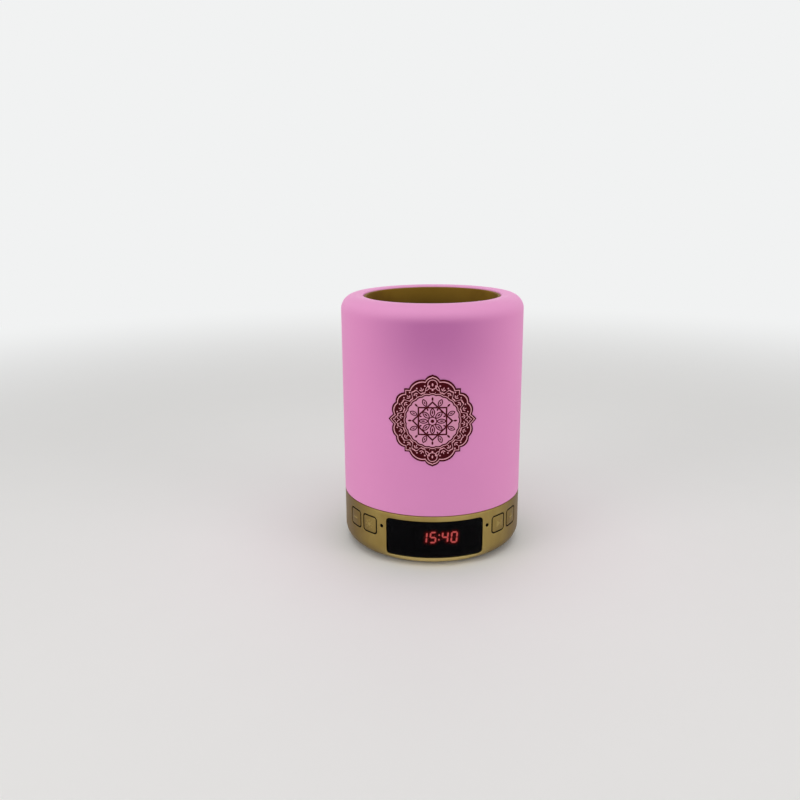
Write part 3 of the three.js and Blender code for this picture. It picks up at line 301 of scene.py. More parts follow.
def arc(centre_r, centre_z, radius, start, end, steps):
    """Points of a circle in a profile's plane: the centre plus the radius times the cosine and
    sine of angles from start to end, in degrees."""
    angles = np.radians(np.linspace(start, end, steps + 1))
    return np.column_stack((centre_r + radius * np.cos(angles), centre_z + radius * np.sin(angles)))


def softened(corners, rounds, steps):
    """A closed outline with each corner replaced by a parabola between the two points that lie
    its own rounding away from it along its sides."""
    ends = []
    for shift in (1, -1):
        side = np.roll(corners, shift, 0) - corners
        ends.append(corners + rounds[:, None] * side / np.linalg.norm(side, axis=1, keepdims=True))
    t = np.linspace(0, 1, steps + 1)[None, :, None]
    curve = (1 - t) ** 2 * ends[0][:, None] + 2 * t * (1 - t) * corners[:, None] \
        + t ** 2 * ends[1][:, None]
    return curve.reshape(-1, 2)


def grid_faces(rows, columns, wrap_rows=False, wrap_columns=True):
    """Two triangles for each cell of a grid of points, in row order."""
    i, j = np.meshgrid(np.arange(rows if wrap_rows else rows - 1),
                       np.arange(columns if wrap_columns else columns - 1), indexing="ij")
    up, along = (i + 1) % rows, (j + 1) % columns
    a, b, c, d = i * columns + j, i * columns + along, up * columns + along, up * columns + j
    return np.concatenate((np.stack((a, b, c), -1).reshape(-1, 3),
                           np.stack((a, c, d), -1).reshape(-1, 3)))


def around(r, azimuth, z):
    """Points at radius r, azimuth and height: (r sin azimuth, -r cos azimuth, z)."""
    return np.stack(np.broadcast_arrays(r * np.sin(azimuth), -r * np.cos(azimuth), z), -1)


def turned(profile, steps, closed=True, start=0.0):
    """A profile of radii and heights turned round the lamp's axis."""
    azimuth = start + np.arange(steps) * 2 * np.pi / steps
    points = around(profile[:, :1], azimuth[None, :], profile[:, 1:])
    return points.reshape(-1, 3), grid_faces(len(profile), steps, wrap_rows=closed)


def circle(steps):
    """Points of a circle of radius 1."""
    turn = np.arange(steps) * 2 * np.pi / steps
    return np.column_stack((np.cos(turn), np.sin(turn)))


def rounded_rectangle(width, height, corner, side_steps, corner_steps):
    """Closed outline of a rectangle with round corners: a fixed number of steps along each side
    and round each corner, so outlines with other sizes match it point for point."""
    x, y = width / 2 - corner, height / 2 - corner
    centres = np.array([[x, -y], [x, y], [-x, y], [-x, -y]])
    t = np.radians(np.linspace(0, 90, corner_steps + 1))
    turns = np.radians([-90, 0, 90, 180])[:, None] + t[None, :]
    arcs = centres[:, None] + corner * np.stack((np.cos(turns), np.sin(turns)), -1)
    ends, starts = arcs[:, -1], np.roll(arcs[:, 0], -1, 0)
    s = np.linspace(0, 1, side_steps + 1)[1:-1][None, :, None]
    sides = ends[:, None] * (1 - s) + starts[:, None] * s
    return np.concatenate((arcs, sides), 1).reshape(-1, 2)


def rectangle_distance(x, y, width, height, corner):
    """Signed distance to a rounded rectangle, negative inside it."""
    dx, dy = np.abs(x) - width / 2 + corner, np.abs(y) - height / 2 + corner
    outside = np.hypot(np.maximum(dx, 0), np.maximum(dy, 0))
    return outside + np.minimum(np.maximum(dx, dy), 0) - corner


def smooth(edge_low, edge_high, value):
    """Goes from 0 to 1 between two edges, with level ends."""
    t = np.clip((value - edge_low) / (edge_high - edge_low), 0, 1)
    return t * t * (3 - 2 * t)


def triangulated(points, rings):
    """Triangles between the points of a plane, with closed rings of points kept as edges."""
    edges = np.concatenate([np.column_stack((ring, np.roll(ring, -1))) for ring in rings])
    pairs = [Vector(pair) for pair in points.tolist()]
    result = delaunay_2d_cdt(pairs, edges.tolist(), [], 0, PLANE_TOLERANCE)
    origin = np.array([ids[0] for ids in result[3]])
    return origin[np.array(result[2])]


def joined(surfaces):
    """Several surfaces as one list of points and one of triangles."""
    counts = np.cumsum([0] + [len(points) for points, _ in surfaces[:-1]])
    return (np.concatenate([points for points, _ in surfaces]),
            np.concatenate([faces + count for (_, faces), count in zip(surfaces, counts)]))


def add_piece(name, surfaces, body, finish, replaces=(), attributes=None, sharp=38):
    """Welds surfaces into one closed mesh with its faces outwards, gives it a finish, and
    mounts it on a body in place of the nodes that it stands for. Edges are sharp from an angle
    in degrees."""
    points, faces = joined(surfaces)
    mesh = bpy.data.meshes.new(name)
    mesh.vertices.add(len(points))
    mesh.vertices.foreach_set("co", points.astype(np.float32).ravel())
    mesh.loops.add(faces.size)
    mesh.loops.foreach_set("vertex_index", faces.astype(np.int32).ravel())
    mesh.polygons.add(len(faces))
    mesh.polygons.foreach_set("loop_start", np.arange(0, faces.size, 3, dtype=np.int32))
    mesh.update(calc_edges=True)
    for label, values in (attributes or {}).items():
        mesh.attributes.new(label, "FLOAT", "POINT").data.foreach_set(
            "value", values.astype(np.float32).ravel())
    work = bmesh.new()
    work.from_mesh(mesh)
    bmesh.ops.remove_doubles(work, verts=work.verts, dist=WELD_DISTANCE)
    bmesh.ops.dissolve_degenerate(work, edges=work.edges, dist=SLIVER)
    bmesh.ops.recalc_face_normals(work, faces=work.faces)
    if any(not edge.is_manifold for edge in work.edges):
        raise RuntimeError(f"{name} is not closed")
    work.to_mesh(mesh)
    work.free()
    mesh.shade_smooth()
    mesh.set_sharp_from_angle(angle=math.radians(sharp))
    made = bpy.data.objects.new(name, mesh)
    bpy.context.scene.collection.objects.link(made)
    mesh.materials.append(finish)
    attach(made, body)
    if replaces:
        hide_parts(*replaces)


# Finishes

class Value:
    """One value in a node tree. Sums, products and powers of values add Math nodes."""

    def __init__(self, nodes, socket):
        self.nodes = nodes
        self.socket = socket

    def math(self, operation, *values):
        """This value and others through one Math node."""
        inputs = dict(enumerate((self,) + values))
        return self.nodes.node("ShaderNodeMath", {"operation": operation}, inputs)

    def __add__(self, other):
        return self.math("ADD", other)

    __radd__ = __add__

    def __mul__(self, other):
        return self.math("MULTIPLY", other)

    __rmul__ = __mul__

    def __sub__(self, other):
        return self.math("SUBTRACT", other)

    def __rsub__(self, other):
        return self.math("MULTIPLY", -1.0).math("ADD", other)

    def __pow__(self, other):
        return self.math("POWER", other)

    def step(self, low, high):
        """Goes smoothly from 0 to 1 as this value goes from low to high."""
        return self.nodes.node("ShaderNodeMapRange", {"interpolation_type": "SMOOTHSTEP"},
                               {"Value": self, "From Min": low, "From Max": high})


class Nodes:
    """A node tree that is being filled."""

    def __init__(self, tree):
        self.tree = tree

    def node(self, kind, settings=None, inputs=None, output=0):
        """A node of a type, with its settings made first and then its inputs set or linked."""
        made = self.tree.nodes.new(kind)
        for key, value in (settings or {}).items():
            setattr(made, key, value)
        for key, value in (inputs or {}).items():
            if isinstance(value, Value):
                self.tree.links.new(value.socket, made.inputs[key])
            else:
                made.inputs[key].default_value = value
        return Value(self, made.outputs[output])

    def present(self, name):
        """What a node that the tree came with gives."""
        return Value(self, self.tree.nodes[name].outputs[0])

    def link(self, value, name, socket):
        """Links a value to a socket of a node that the tree came with."""
        self.tree.links.new(value.socket, self.tree.nodes[name].inputs[socket])


class Finish(Nodes):
    """A finish being made: its material, node tree and shader."""

    def __init__(self, name, **constants):
        self.material = bpy.data.materials.new(name)
        self.material.use_nodes = True
        super().__init__(self.material.node_tree)
        shader = self.tree.nodes["Principled BSDF"]
        for key, value in constants.items():
            shader.inputs[key.replace("_", " ")].default_value = value

    def feed(self, socket, value):
        """Links a value that changes over the surface to a socket of the shader."""
        self.link(value, "Principled BSDF", socket)

    def place(self):
        """Object coordinates, in metres."""
        return self.node("ShaderNodeTexCoord", output="Object")

    def axis(self, name):
        """One of the object coordinates."""
        return self.node("ShaderNodeSeparateXYZ", None, {0: self.place()}, output=name)

    def reach(self):
        """Distance from the lamp's axis, from the object coordinates."""
        level = self.node("ShaderNodeVectorMath", {"operation": "MULTIPLY"},
                          {0: self.place(), 1: (1.0, 1.0, 0.0)})
        return self.node("ShaderNodeVectorMath", {"operation": "LENGTH"}, {0: level},
                         output="Value")

    def attribute(self, name):
        """A value kept on the piece's own points."""
        return self.node("ShaderNodeAttribute", {"attribute_name": name}, output="Fac")

    def noise(self, scale, detail=3.0, roughness=0.5, stretch=(1, 1, 1)):
        """Cloudy noise between 0 and 1 with a number of patches to the metre."""
        spread = self.node("ShaderNodeMapping", {"vector_type": "POINT"},
                           {"Vector": self.place(), "Scale": stretch})
        return self.node("ShaderNodeTexNoise", None, {"Vector": spread, "Scale": scale,
                                                      "Detail": detail, "Roughness": roughness})

    def mix(self, factor, first, second):
        """A colour between two colours."""
        tones = [tone if isinstance(tone, Value) else (*tone, 1.0) for tone in (first, second)]
        return self.node("ShaderNodeMix", {"data_type": "RGBA"},
                         {0: factor, 6: tones[0], 7: tones[1]}, output=2)

    def layered(self, tone, *layers):
        """A colour with other colours laid over it in turn, each by a share of its own."""
        for share, over in layers:
            tone = self.mix(share, tone, over)
        return tone

    def bump(self, height, distance, strength=0.5):
        """Turns a height between 0 and 1 into the shader's normal."""
        self.feed("Normal", self.node("ShaderNodeBump", None, {
            "Height": height, "Distance": distance, "Strength": strength}))


def moulded(name, main, second, roughness, metallic=0.0, scale=400.0, spread=0.08, grain=0.00003,
            stretch=(1, 1, 1), **constants):
    """A moulded, cast or painted finish: two close colours in soft patches, with a roughness and
    a fine grain that follow the same patches."""
    made = Finish(name, Metallic=metallic, **constants)
    patches = made.noise(scale, 4.0, 0.55, stretch)
    made.feed("Base Color", made.mix(patches.step(0.3, 0.7), main, second))
    made.feed("Roughness", patches * spread + (roughness - spread / 2))
    made.bump(made.noise(scale * 8, 2.0, 0.5, stretch), grain)
    return made.material


def pink_diffuser(tones, sizes):
    """Matt translucent pink plastic, lit from inside: lighter low down by the light ring, with a
    painted highlight at the shoulder, painted shade on the front and back that is deepest in a
    band under the shoulder and dims the glow there too, a random mottle and a fine moulded grain."""
    made = Finish("pink_diffuser", IOR=1.46, Specular_IOR_Level=0.15, Emission_Strength=0.22)
    height = made.axis("Z")
    upper = height.step(70 * MM, 128 * MM) * (1 - height.step(126 * MM, 133 * MM))
    facing = (made.axis("Y") * (1 / sizes.radius)) ** 4.0
    # Painted shade on the front and back, deepest in the band under the shoulder, plus a random
    # mottle.
    painted_shade_and_mottle = upper * facing * 0.5 + facing * 0.48 + made.noise(28.0, 2.0) * 0.16 - 0.04
    # Painted highlight along the shoulder.
    crown = height.step(127 * MM, 134 * MM)
    low = 1 - height.step(29 * MM, 55 * MM)
    made.feed("Base Color", made.layered(tones.pink, (painted_shade_and_mottle, tones.pink_deep),
                                         (crown * 0.4 + low * 0.05, tones.pink_light)))
    # The glow is dimmed by the same painted shade in the band on the front and back.
    made.feed("Emission Color", made.mix(upper * facing, tones.pink_light, tones.pink_deep))
    made.feed("Roughness", made.noise(900.0) * 0.12 + 0.46)
    made.bump(made.noise(2600.0, 2.0), 0.00003, 0.35)
    return made.material


def bronze_paint(name, tones, sizes, low, high, low_share):
    """Satin bronze paint: fine flake in faint clouds, darker low down, painted shade towards the
    sides and on the rolled edge at the sides, a painted highlight on the rolled edge in front and
    on the raised signs, and painted shade, nearly black, where the surface turns down into the
    gaps round the buttons and openings."""
    made = Finish(name, Metallic=0.55, Specular_IOR_Level=0.12, Coat_Weight=0.03,
                  Coat_Roughness=0.3)
    clouds = made.noise(60.0, 3.0, 0.55, (1, 1, 0.45))
    flake = made.noise(5200.0, 1.0, 0.6)
    height = made.axis("Z")
    facing = (made.axis("Y") * (1 / sizes.radius)) ** 2.0
    side = 1 - facing.step(0.12, 0.62)
    roll = 1 - height.step(3 * MM, 10 * MM)
    # Mask for the painted shade in the gaps: where the surface turns down below the body radius.
    sunk = 1 - made.reach().step(sizes.radius - 0.2 * MM, sizes.radius - 0.04 * MM)
    edge_top = sizes.base_bottom + sizes.base_edge
    wall = height.step(edge_top, edge_top + MM) \
        * (1 - height.step(sizes.seam - 1.2 * MM, sizes.seam - 0.8 * MM))
    made.feed("Base Color", made.layered(
        made.mix(clouds.step(0.35, 0.7), tones.bronze, tones.bronze_light),
        # Painted shade towards the sides.
        (side * 0.9, tones.bronze_dark),
        # Painted shade on the rolled edge at the sides.
        (roll * (1 - facing * facing) * 0.75, tones.bronze_dark),
        # Painted highlight on the rolled edge in front.
        (roll * facing.step(0.5, 0.95) * 0.85, tones.bronze_edge_highlight),
        ((1 - height.step(low, high)) * low_share, tones.bronze_dark),
        (flake.step(0.55, 0.75) * 0.25, tones.bronze_light),
        # Painted highlight on the raised signs.
        (made.attribute("sign") * 0.7, tones.bronze_light),
        # Painted shade, nearly black, in the gaps round the buttons and openings.
        (sunk * wall, tones.gap)))
    made.feed("Roughness", clouds * 0.12 + flake * 0.08 + 0.34)
    made.bump(flake, 0.00002, 0.3)
    return made.material


def dark_recess(tones, sizes):
    """Dark bronze paint of the cup in the opening, deeper towards its floor and at its front and
    back, where less light reaches it."""
    made = Finish("dark_bronze_plastic", Specular_IOR_Level=0.08)
    clouds = made.noise(45.0, 3.0)
    low = 1 - made.axis("Z").step(bezel_low.z, bezel_high.z)
    facing = (made.axis("Y") * (1 / sizes.opening)) ** 8.0
    made.feed("Base Color", made.layered(tones.recess, (clouds.step(0.35, 0.7), tones.recess_worn),
                                         (low * 0.6 + facing * 0.3, tones.recess_deep)))
    made.feed("Roughness", clouds * 0.15 + 0.5)
    made.bump(made.noise(4200.0, 1.0), 0.00002, 0.3)
    return made.material


def medallion_print(tones):
    """Enamelled print: maroon and salmon lines on a lilac ground, drawn where the signed
    distances on the piece's points, in millimetres, are below nought."""
    made = Finish("medallion_print", IOR=1.48, Specular_IOR_Level=0.06)
    speck = made.noise(1800.0, 2.0)
    dark, light = (1 - made.attribute(name).step(-0.04, 0.04) for name in ("dark", "light"))
    made.feed("Base Color", made.layered(tones.ground, (speck * 0.25, tones.pink_deep),
                                         (dark, tones.maroon), (light, tones.salmon)))
    made.feed("Roughness", speck * 0.15 - dark * 0.08 + 0.42)
    made.bump(speck, 0.00002, 0.3)
    return made.material


def smoked_pane():
    """Smoked acrylic: nearly black and glossy, with a trace of haze."""
    made = Finish("smoked_acrylic", Alpha=0.88, IOR=1.49, Specular_IOR_Level=0.03)
    haze = made.noise(120.0, 3.0)
    made.feed("Base Color", made.mix(haze, screen("050506"), screen("09090b")))
    made.feed("Roughness", haze * 0.05 + 0.06)
    return made.material


def display_face(tones):
    """Black face of the display, with the red glow of the lit bars kept on its points."""
    made = Finish("display_face", Emission_Strength=5.0)
    made.feed("Base Color", made.mix(made.noise(900.0), screen("060607"), screen("0a0a0b")))
    made.feed("Emission Color", made.mix(made.attribute("glow"), screen("000000"), tones.digit))
    made.feed("Roughness", made.noise(2000.0) * 0.2 + 0.4)
    return made.material


def lit_bar(tones):
    """Lit bar of a digit: red, slightly hotter in patches."""
    made = Finish("lit_bar", Roughness=0.4, Emission_Strength=32.0)
    heat = made.noise(1500.0)
    made.feed("Emission Color", made.mix(heat, screen("ff6468"), screen("ff766c")))
    made.feed("Base Color", made.mix(heat, tones.digit, screen("c01a18")))
    return made.material


def circuit_board(name, main, second, track):
    """Board lacquer with a net of tracks under it."""
    made = Finish(name, Coat_Weight=0.3, Coat_Roughness=0.15)
    cells = made.node("ShaderNodeTexBrick", {"offset": 0.5}, {
        "Vector": made.place(), "Scale": 160.0, "Mortar Size": 0.06,
        "Color1": (*main, 1.0), "Color2": (*second, 1.0), "Mortar": (*track, 1.0)})
    made.feed("Base Color", made.mix(made.noise(300.0) * 0.3, cells, main))
    made.feed("Roughness", made.noise(500.0) * 0.15 + 0.35)
    made.bump(made.noise(3000.0), 0.00002)
    return made.material


def woven(name, main, second):
    """Cloth: ribs that cross."""
    made = Finish(name, Sheen_Weight=0.3)
    across, along = (made.node("ShaderNodeTexWave", {"bands_direction": direction}, {
        "Vector": made.place(), "Scale": 700.0, "Distortion": 0.4}) for direction in "XY")
    ribs = across * along
    made.feed("Base Color", made.mix(ribs, main, second))
    made.feed("Roughness", ribs * 0.1 + 0.8)
    made.bump(ribs, 0.0001)
    return made.material


def inner_finishes():
    """Finishes of the nodes that are carried over, by node name without its number."""
    found = {
        "main_board": circuit_board("green_board", screen("1f5a34"), screen("22633a"),
                                    screen("3c7d50")),
        "light_board": circuit_board("white_board", screen("eceae4"), screen("e6e3dc"),
                                     screen("d2cfc6")),
        "speaker_spider": woven("cloth", screen("b99a55"), screen("8f743c")),
    }
    for name, (main, second, roughness, changes, nodes) in INNER_FINISHES.items():
        finish = moulded(name, screen(main), screen(second), roughness, **changes)
        found.update(dict.fromkeys(nodes.split(), finish))
    return found


# Pieces

class LampOperator:
    """What the operators that build pieces share."""
    bl_options = {"REGISTER", "UNDO"}

    @staticmethod
    def settings(context):
        """The lamp's sizes, the panel's, the medallion's, and the colours."""
        scene = context.scene
        return scene.lamp_sizes, scene.lamp_panel, scene.lamp_medallion, scene.lamp_colours


def base_radius(sizes, z, depth):
    """Radius of the base's surface, moved inwards by a depth: its side is straight, and below
    the edge's centre the radius is that centre's plus the root of what the height leaves."""
    fall = np.maximum(sizes.base_bottom + sizes.base_edge - z, 0)
    edge = sizes.base_edge - depth
    return sizes.radius - sizes.base_edge + np.sqrt(np.maximum(edge ** 2 - fall ** 2, 0))


class Opening:
    """An opening in the base's wall: its azimuth and height, the width, height and corner
    radius of its hole, and the steps along its sides and round its corners."""

    def __init__(self, turn, height, width, tall, corner, side_steps, corner_steps):
        self.turn = (turn - WALL_START) % (2 * np.pi) + WALL_START
        self.height = height
        self.hole = np.array((width, tall, corner))
        self.steps = side_steps, corner_steps

    def outline(self, grow):
        """Across and height of the points round the hole, grown by a margin."""
        points = rounded_rectangle(*(self.hole + grow * np.array((2, 2, 1))), *self.steps)
        return points[:, 0], points[:, 1] + self.height

    def distance(self, azimuth, r, z):
        """Signed distance to the hole. What lies behind the lamp's axis is far away."""
        angle = azimuth - self.turn
        x = np.where(np.cos(angle) > 0, r * np.sin(angle), 1.0)
        return rectangle_distance(x, z - self.height, *self.hole)


def base_openings(panel):
    """All openings in the base's wall."""
    window = (panel.window_width, panel.window_high - panel.window_low, panel.window_corner)
    button = (panel.button_width, panel.button_high - panel.button_low, panel.button_corner)
    pinhole = 2 * panel.pinhole_radius, 2 * panel.pinhole_radius, 0.98 * panel.pinhole_radius
    middle = (panel.button_high + panel.button_low) / 2
    found = [Opening(0.0, (panel.window_high + panel.window_low) / 2, *window, 36, 6)]
    found += [Opening(side * turn, middle, *button, 12, 6) for side in (-1, 1)
              for turn in (panel.button_inner, panel.button_outer)]
    found += [Opening(side * panel.pinhole_turn, panel.pinhole_height, *pinhole, 1, 6)
              for side in (-1, 1)]
    for turn, *sizes, side_steps, corner_steps in (CHARGING_OPENING, CARD_OPENING, SWITCH_OPENING):
        found.append(Opening(math.radians(turn), *(size * MM for size in sizes),
                             side_steps, corner_steps))
    return found


def wall_sheet(sizes, openings, profile, depth, grow):
    """The base's wall at a depth, triangulated round its openings. The wall is unrolled: across
    is azimuth times the body radius, up is the length along the profile, which rises with the
    height above the flat underside. The grid's points keep clear of the openings."""
    clear, flat = 0.45 * MM, 0.1 * MM
    along = np.concatenate(([0], np.cumsum(np.hypot(*np.diff(profile, axis=0).T))))
    azimuth = WALL_START + np.arange(sizes.columns + 1) * 2 * np.pi / sizes.columns
    u, v = (part.ravel() for part in np.meshgrid(azimuth * sizes.radius, along))
    r, z = (np.repeat(part, len(azimuth)) for part in profile.T)
    keep = np.ones(len(u), bool)
    rising = profile[:, 1] > sizes.base_bottom + flat
    loops = []
    for opening in openings:
        gap = opening.distance(u / sizes.radius, r, z)
        keep &= (gap > grow + clear) | (v == along[0]) | (v == along[-1])
        loop_x, loop_z = opening.outline(grow)
        loop_r = base_radius(sizes, loop_z, depth)
        loop_u = (opening.turn + np.arcsin(loop_x / loop_r)) * sizes.radius
        loop_v = np.interp(loop_z, profile[rising, 1], along[rising])
        loops.append(np.column_stack((loop_u, loop_v, loop_r, loop_z)))
    every = np.concatenate([np.column_stack((u, v, r, z))[keep]] + loops)
    ends = keep.sum() + np.cumsum([len(loop) for loop in loops])
    rings = [np.arange(end - len(loop), end) for loop, end in zip(loops, ends)]
    faces = triangulated(every[:, :2], rings)
    centre = every[faces].mean(1)
    solid = np.ones(len(faces), bool)
    for opening in openings:
        solid &= opening.distance(centre[:, 0] / sizes.radius, centre[:, 2], centre[:, 3]) > grow
    return around(every[:, 2], every[:, 0] / sizes.radius, every[:, 3]), faces[solid]


def opening_rim(sizes, opening, rim):
    """The edge of one opening: a quarter round of the rim's radius, then straight through the
    wall. Each ring is the outline, grown and sunk, laid on the base's surface."""
    t = np.radians(np.linspace(0, 90, 4))
    grown = np.concatenate((rim * (1 - np.sin(t)), [0]))
    sunk = np.concatenate((rim * (1 - np.cos(t)), [sizes.wall]))
    rings = []
    for grow, depth in zip(grown, sunk):
        x, z = opening.outline(grow)
        r = base_radius(sizes, z, depth)
        rings.append(around(r, opening.turn + np.arcsin(x / r), z))
    return np.concatenate(rings), grid_faces(len(rings), len(rings[0]))


class LAMP_OT_base(LampOperator, Operator):
    """Build the bronze base shell with its openings"""
    bl_idname = "lamp.build_base"
    bl_label = "Base shell"

    def execute(self, context):
        sizes, panel, _, tones = self.settings(context)
        finish = bronze_paint("bronze_plastic", tones, sizes, 1 * MM, 16 * MM, 0.1)
        openings = base_openings(panel)
        low, seam, radius, mouth = sizes.base_bottom, sizes.seam, sizes.radius, sizes.base_opening
        edge_r, edge_z, top_round = radius - sizes.base_edge, low + sizes.base_edge, 0.4 * MM
        outer = np.concatenate((
            np.linspace((mouth, low), (edge_r, low), 4)[:-1],
            arc(edge_r, edge_z, sizes.base_edge, -90, 0, 12),
            np.linspace((radius, edge_z), (radius, seam - top_round), 15)[1:],
            arc(radius - top_round, seam - top_round, top_round, 0, 90, 3)[1:],
        ))
        deck, ledge_top, ledge_low = seam - 2 * MM, low + 3.9 * MM, low + 2.7 * MM
        inner_r, inner_edge = radius - sizes.wall, sizes.base_edge - sizes.wall
        lowest = math.degrees(math.asin((ledge_top - edge_z) / inner_edge))
        inner = np.concatenate((
            arc(edge_r, edge_z, inner_edge, lowest, 0, 4),
            np.linspace((inner_r, edge_z), (inner_r, deck), 9)[1:],
        ))
        spigot, spigot_top, cable_hole = inner_r - 0.4 * MM, seam + 2.5 * MM, 5 * MM
        spigot_inner = spigot - 1.7 * MM
        over = np.array([
            outer[-1], [spigot, seam], [spigot, spigot_top], [spigot_inner, spigot_top],
            [spigot_inner, seam], [cable_hole, seam], [cable_hole, deck], inner[-1],
        ])
        ledge = mouth - 2.3 * MM
        under = np.array([
            inner[0], [ledge, ledge_top], [ledge, ledge_low], [mouth, ledge_low], outer[0],
        ])
        surfaces = [
            wall_sheet(sizes, openings, outer, 0.0, panel.rim),
            wall_sheet(sizes, openings, inner, sizes.wall, 0.0),
            turned(over, sizes.columns, False, WALL_START),
            turned(under, sizes.columns, False, WALL_START),
        ]
        surfaces += [opening_rim(sizes, opening, panel.rim) for opening in openings]
        add_piece("base_housing", surfaces, "housing", finish, ["base_shell"])
        return {"FINISHED"}


class LAMP_OT_shade(LampOperator, Operator):
    """Build the pink shade"""
    bl_idname = "lamp.build_shade"
    bl_label = "Shade"

    def execute(self, context):
        sizes, _, _, tones = self.settings(context)
        finish = pink_diffuser(tones, sizes)
        foot, bottom, radius, wall = 0.35 * MM, sizes.shade_bottom, sizes.radius, sizes.wall
        rim = sizes.crown - sizes.crown_fall - sizes.lip_round
        lip_low = rim - sizes.lip
        shoulder = radius - sizes.shoulder, sizes.crown - sizes.shoulder
        profile = np.concatenate((
            arc(radius - foot, bottom + foot, foot, -90, 0, 3)[:-1],
            np.linspace((radius, bottom + foot), (radius, shoulder[1]), 41)[:-1],
            arc(*shoulder, sizes.shoulder, 0, 90, 24),
            arc(sizes.opening + sizes.lip_round, rim, sizes.lip_round, 90, 180, 6)[1:],
            [[sizes.opening, lip_low], [sizes.opening + wall, lip_low]],
            arc(*shoulder, sizes.shoulder - wall, 84, 0, 12),
            [[radius - wall, bottom]],
        ))
        add_piece("shade", [turned(profile, sizes.columns)], "housing", finish, ["diffuser_shade"])
        return {"FINISHED"}


class LAMP_OT_recess(LampOperator, Operator):
    """Build the cup in the opening and the perforated grille on its floor"""
    bl_idname = "lamp.build_recess"
    bl_label = "Recess and grille"

    def execute(self, context):
        sizes, _, _, tones = self.settings(context)
        gap = 0.3 * MM
        mouth, outer, low = sizes.opening - gap, sizes.bezel_radius, bezel_low.z
        inner, floor, hole = outer - sizes.bezel_wall, sizes.bezel_floor, sizes.sound_hole
        rim = sizes.crown - sizes.crown_fall - sizes.lip_round
        flange, flange_top = outer + 2.6 * MM, rim - sizes.lip - gap
        flange_low = flange_top - 2 * MM
        corners = np.array([
            [hole, low], [outer, low], [outer, flange_low], [flange, flange_low],
            [flange, flange_top], [outer, flange_top], [mouth, rim],
            [mouth - sizes.bezel_wall, rim], [inner, floor], [hole, floor],
        ])
        rounds = np.array([0.2, 0.2, 0.1, 0.2, 0.2, 0.1, 0.45, 0.6, 0.6, 0.3]) * MM
        cup = turned(softened(corners, rounds, 4), sizes.columns)
        add_piece("recess_cup", [cup], "housing", dark_recess(tones, sizes), ["top_bezel"])
        finish = moulded("bronze_grille", tones.bronze_dark, screen("7a6435"), 0.42, 0.7, 700.0)
        add_piece("touch_grille_sheet", self.grille(sizes, inner - gap), "housing", finish,
                  ["touch_grille"])
        return {"FINISHED"}

    @staticmethod
    def places(sizes):
        """Centres of a hexagonal pattern of holes: rows a pitch times the sine of 60 degrees
        apart, every other one moved by half a pitch, kept where they lie over the sound hole."""
        count = int(sizes.sound_hole / sizes.hole_pitch) + 2
        row, column = np.meshgrid(np.arange(-count, count + 1), np.arange(-count, count + 1))
        x = sizes.hole_pitch * (column + 0.5 * (row % 2))
        y = sizes.hole_pitch * row * math.sin(math.pi / 3)
        near = np.hypot(x, y) <= sizes.sound_hole - sizes.hole_radius + WELD_DISTANCE
        return np.column_stack((x[near], y[near]))

    def grille(self, sizes, radius):
        """A disc with round holes: two flat sheets, triangulated round the holes, and a wall
        with a small countersink in each hole and round the rim."""
        places, unit, rim = self.places(sizes), circle(20), circle(192)
        hole, sink, within_hole = sizes.hole_radius, 0.12 * MM, 0.97
        levels = (grille_low.z, grille_high.z - sink, grille_high.z)

        def flat(hole_radius, rim_radius, z):
            """A flat sheet between the rim and the holes."""
            loops = places[:, None] + hole_radius * unit[None]
            points = np.concatenate((rim_radius * rim, loops.reshape(-1, 2)))
            rings = np.arange(len(rim), len(points)).reshape(len(places), -1)
            faces = triangulated(points, [*rings, np.arange(len(rim))])
            middle = points[faces].mean(1)
            gap = np.hypot(*(middle[:, None] - places[None]).transpose(2, 0, 1)).min(1)
            return (np.column_stack((points, np.full(len(points), z))),
                    faces[gap > hole_radius * within_hole])

        def tube(centre, ring, radii):
            """The wall of a hole or of the rim, with a radius for each level."""
            loops = [np.column_stack((centre + r * ring, np.full(len(ring), z)))
                     for r, z in zip(radii, levels)]
            return np.concatenate(loops), grid_faces(len(loops), len(ring))

        surfaces = [flat(hole, radius, levels[0]), flat(hole + sink, radius - sink, levels[2])]
        surfaces += [tube(centre, unit, (hole, hole, hole + sink)) for centre in places]
        surfaces.append(tube(np.zeros(2), rim, (radius, radius, radius - sink)))
        return surfaces


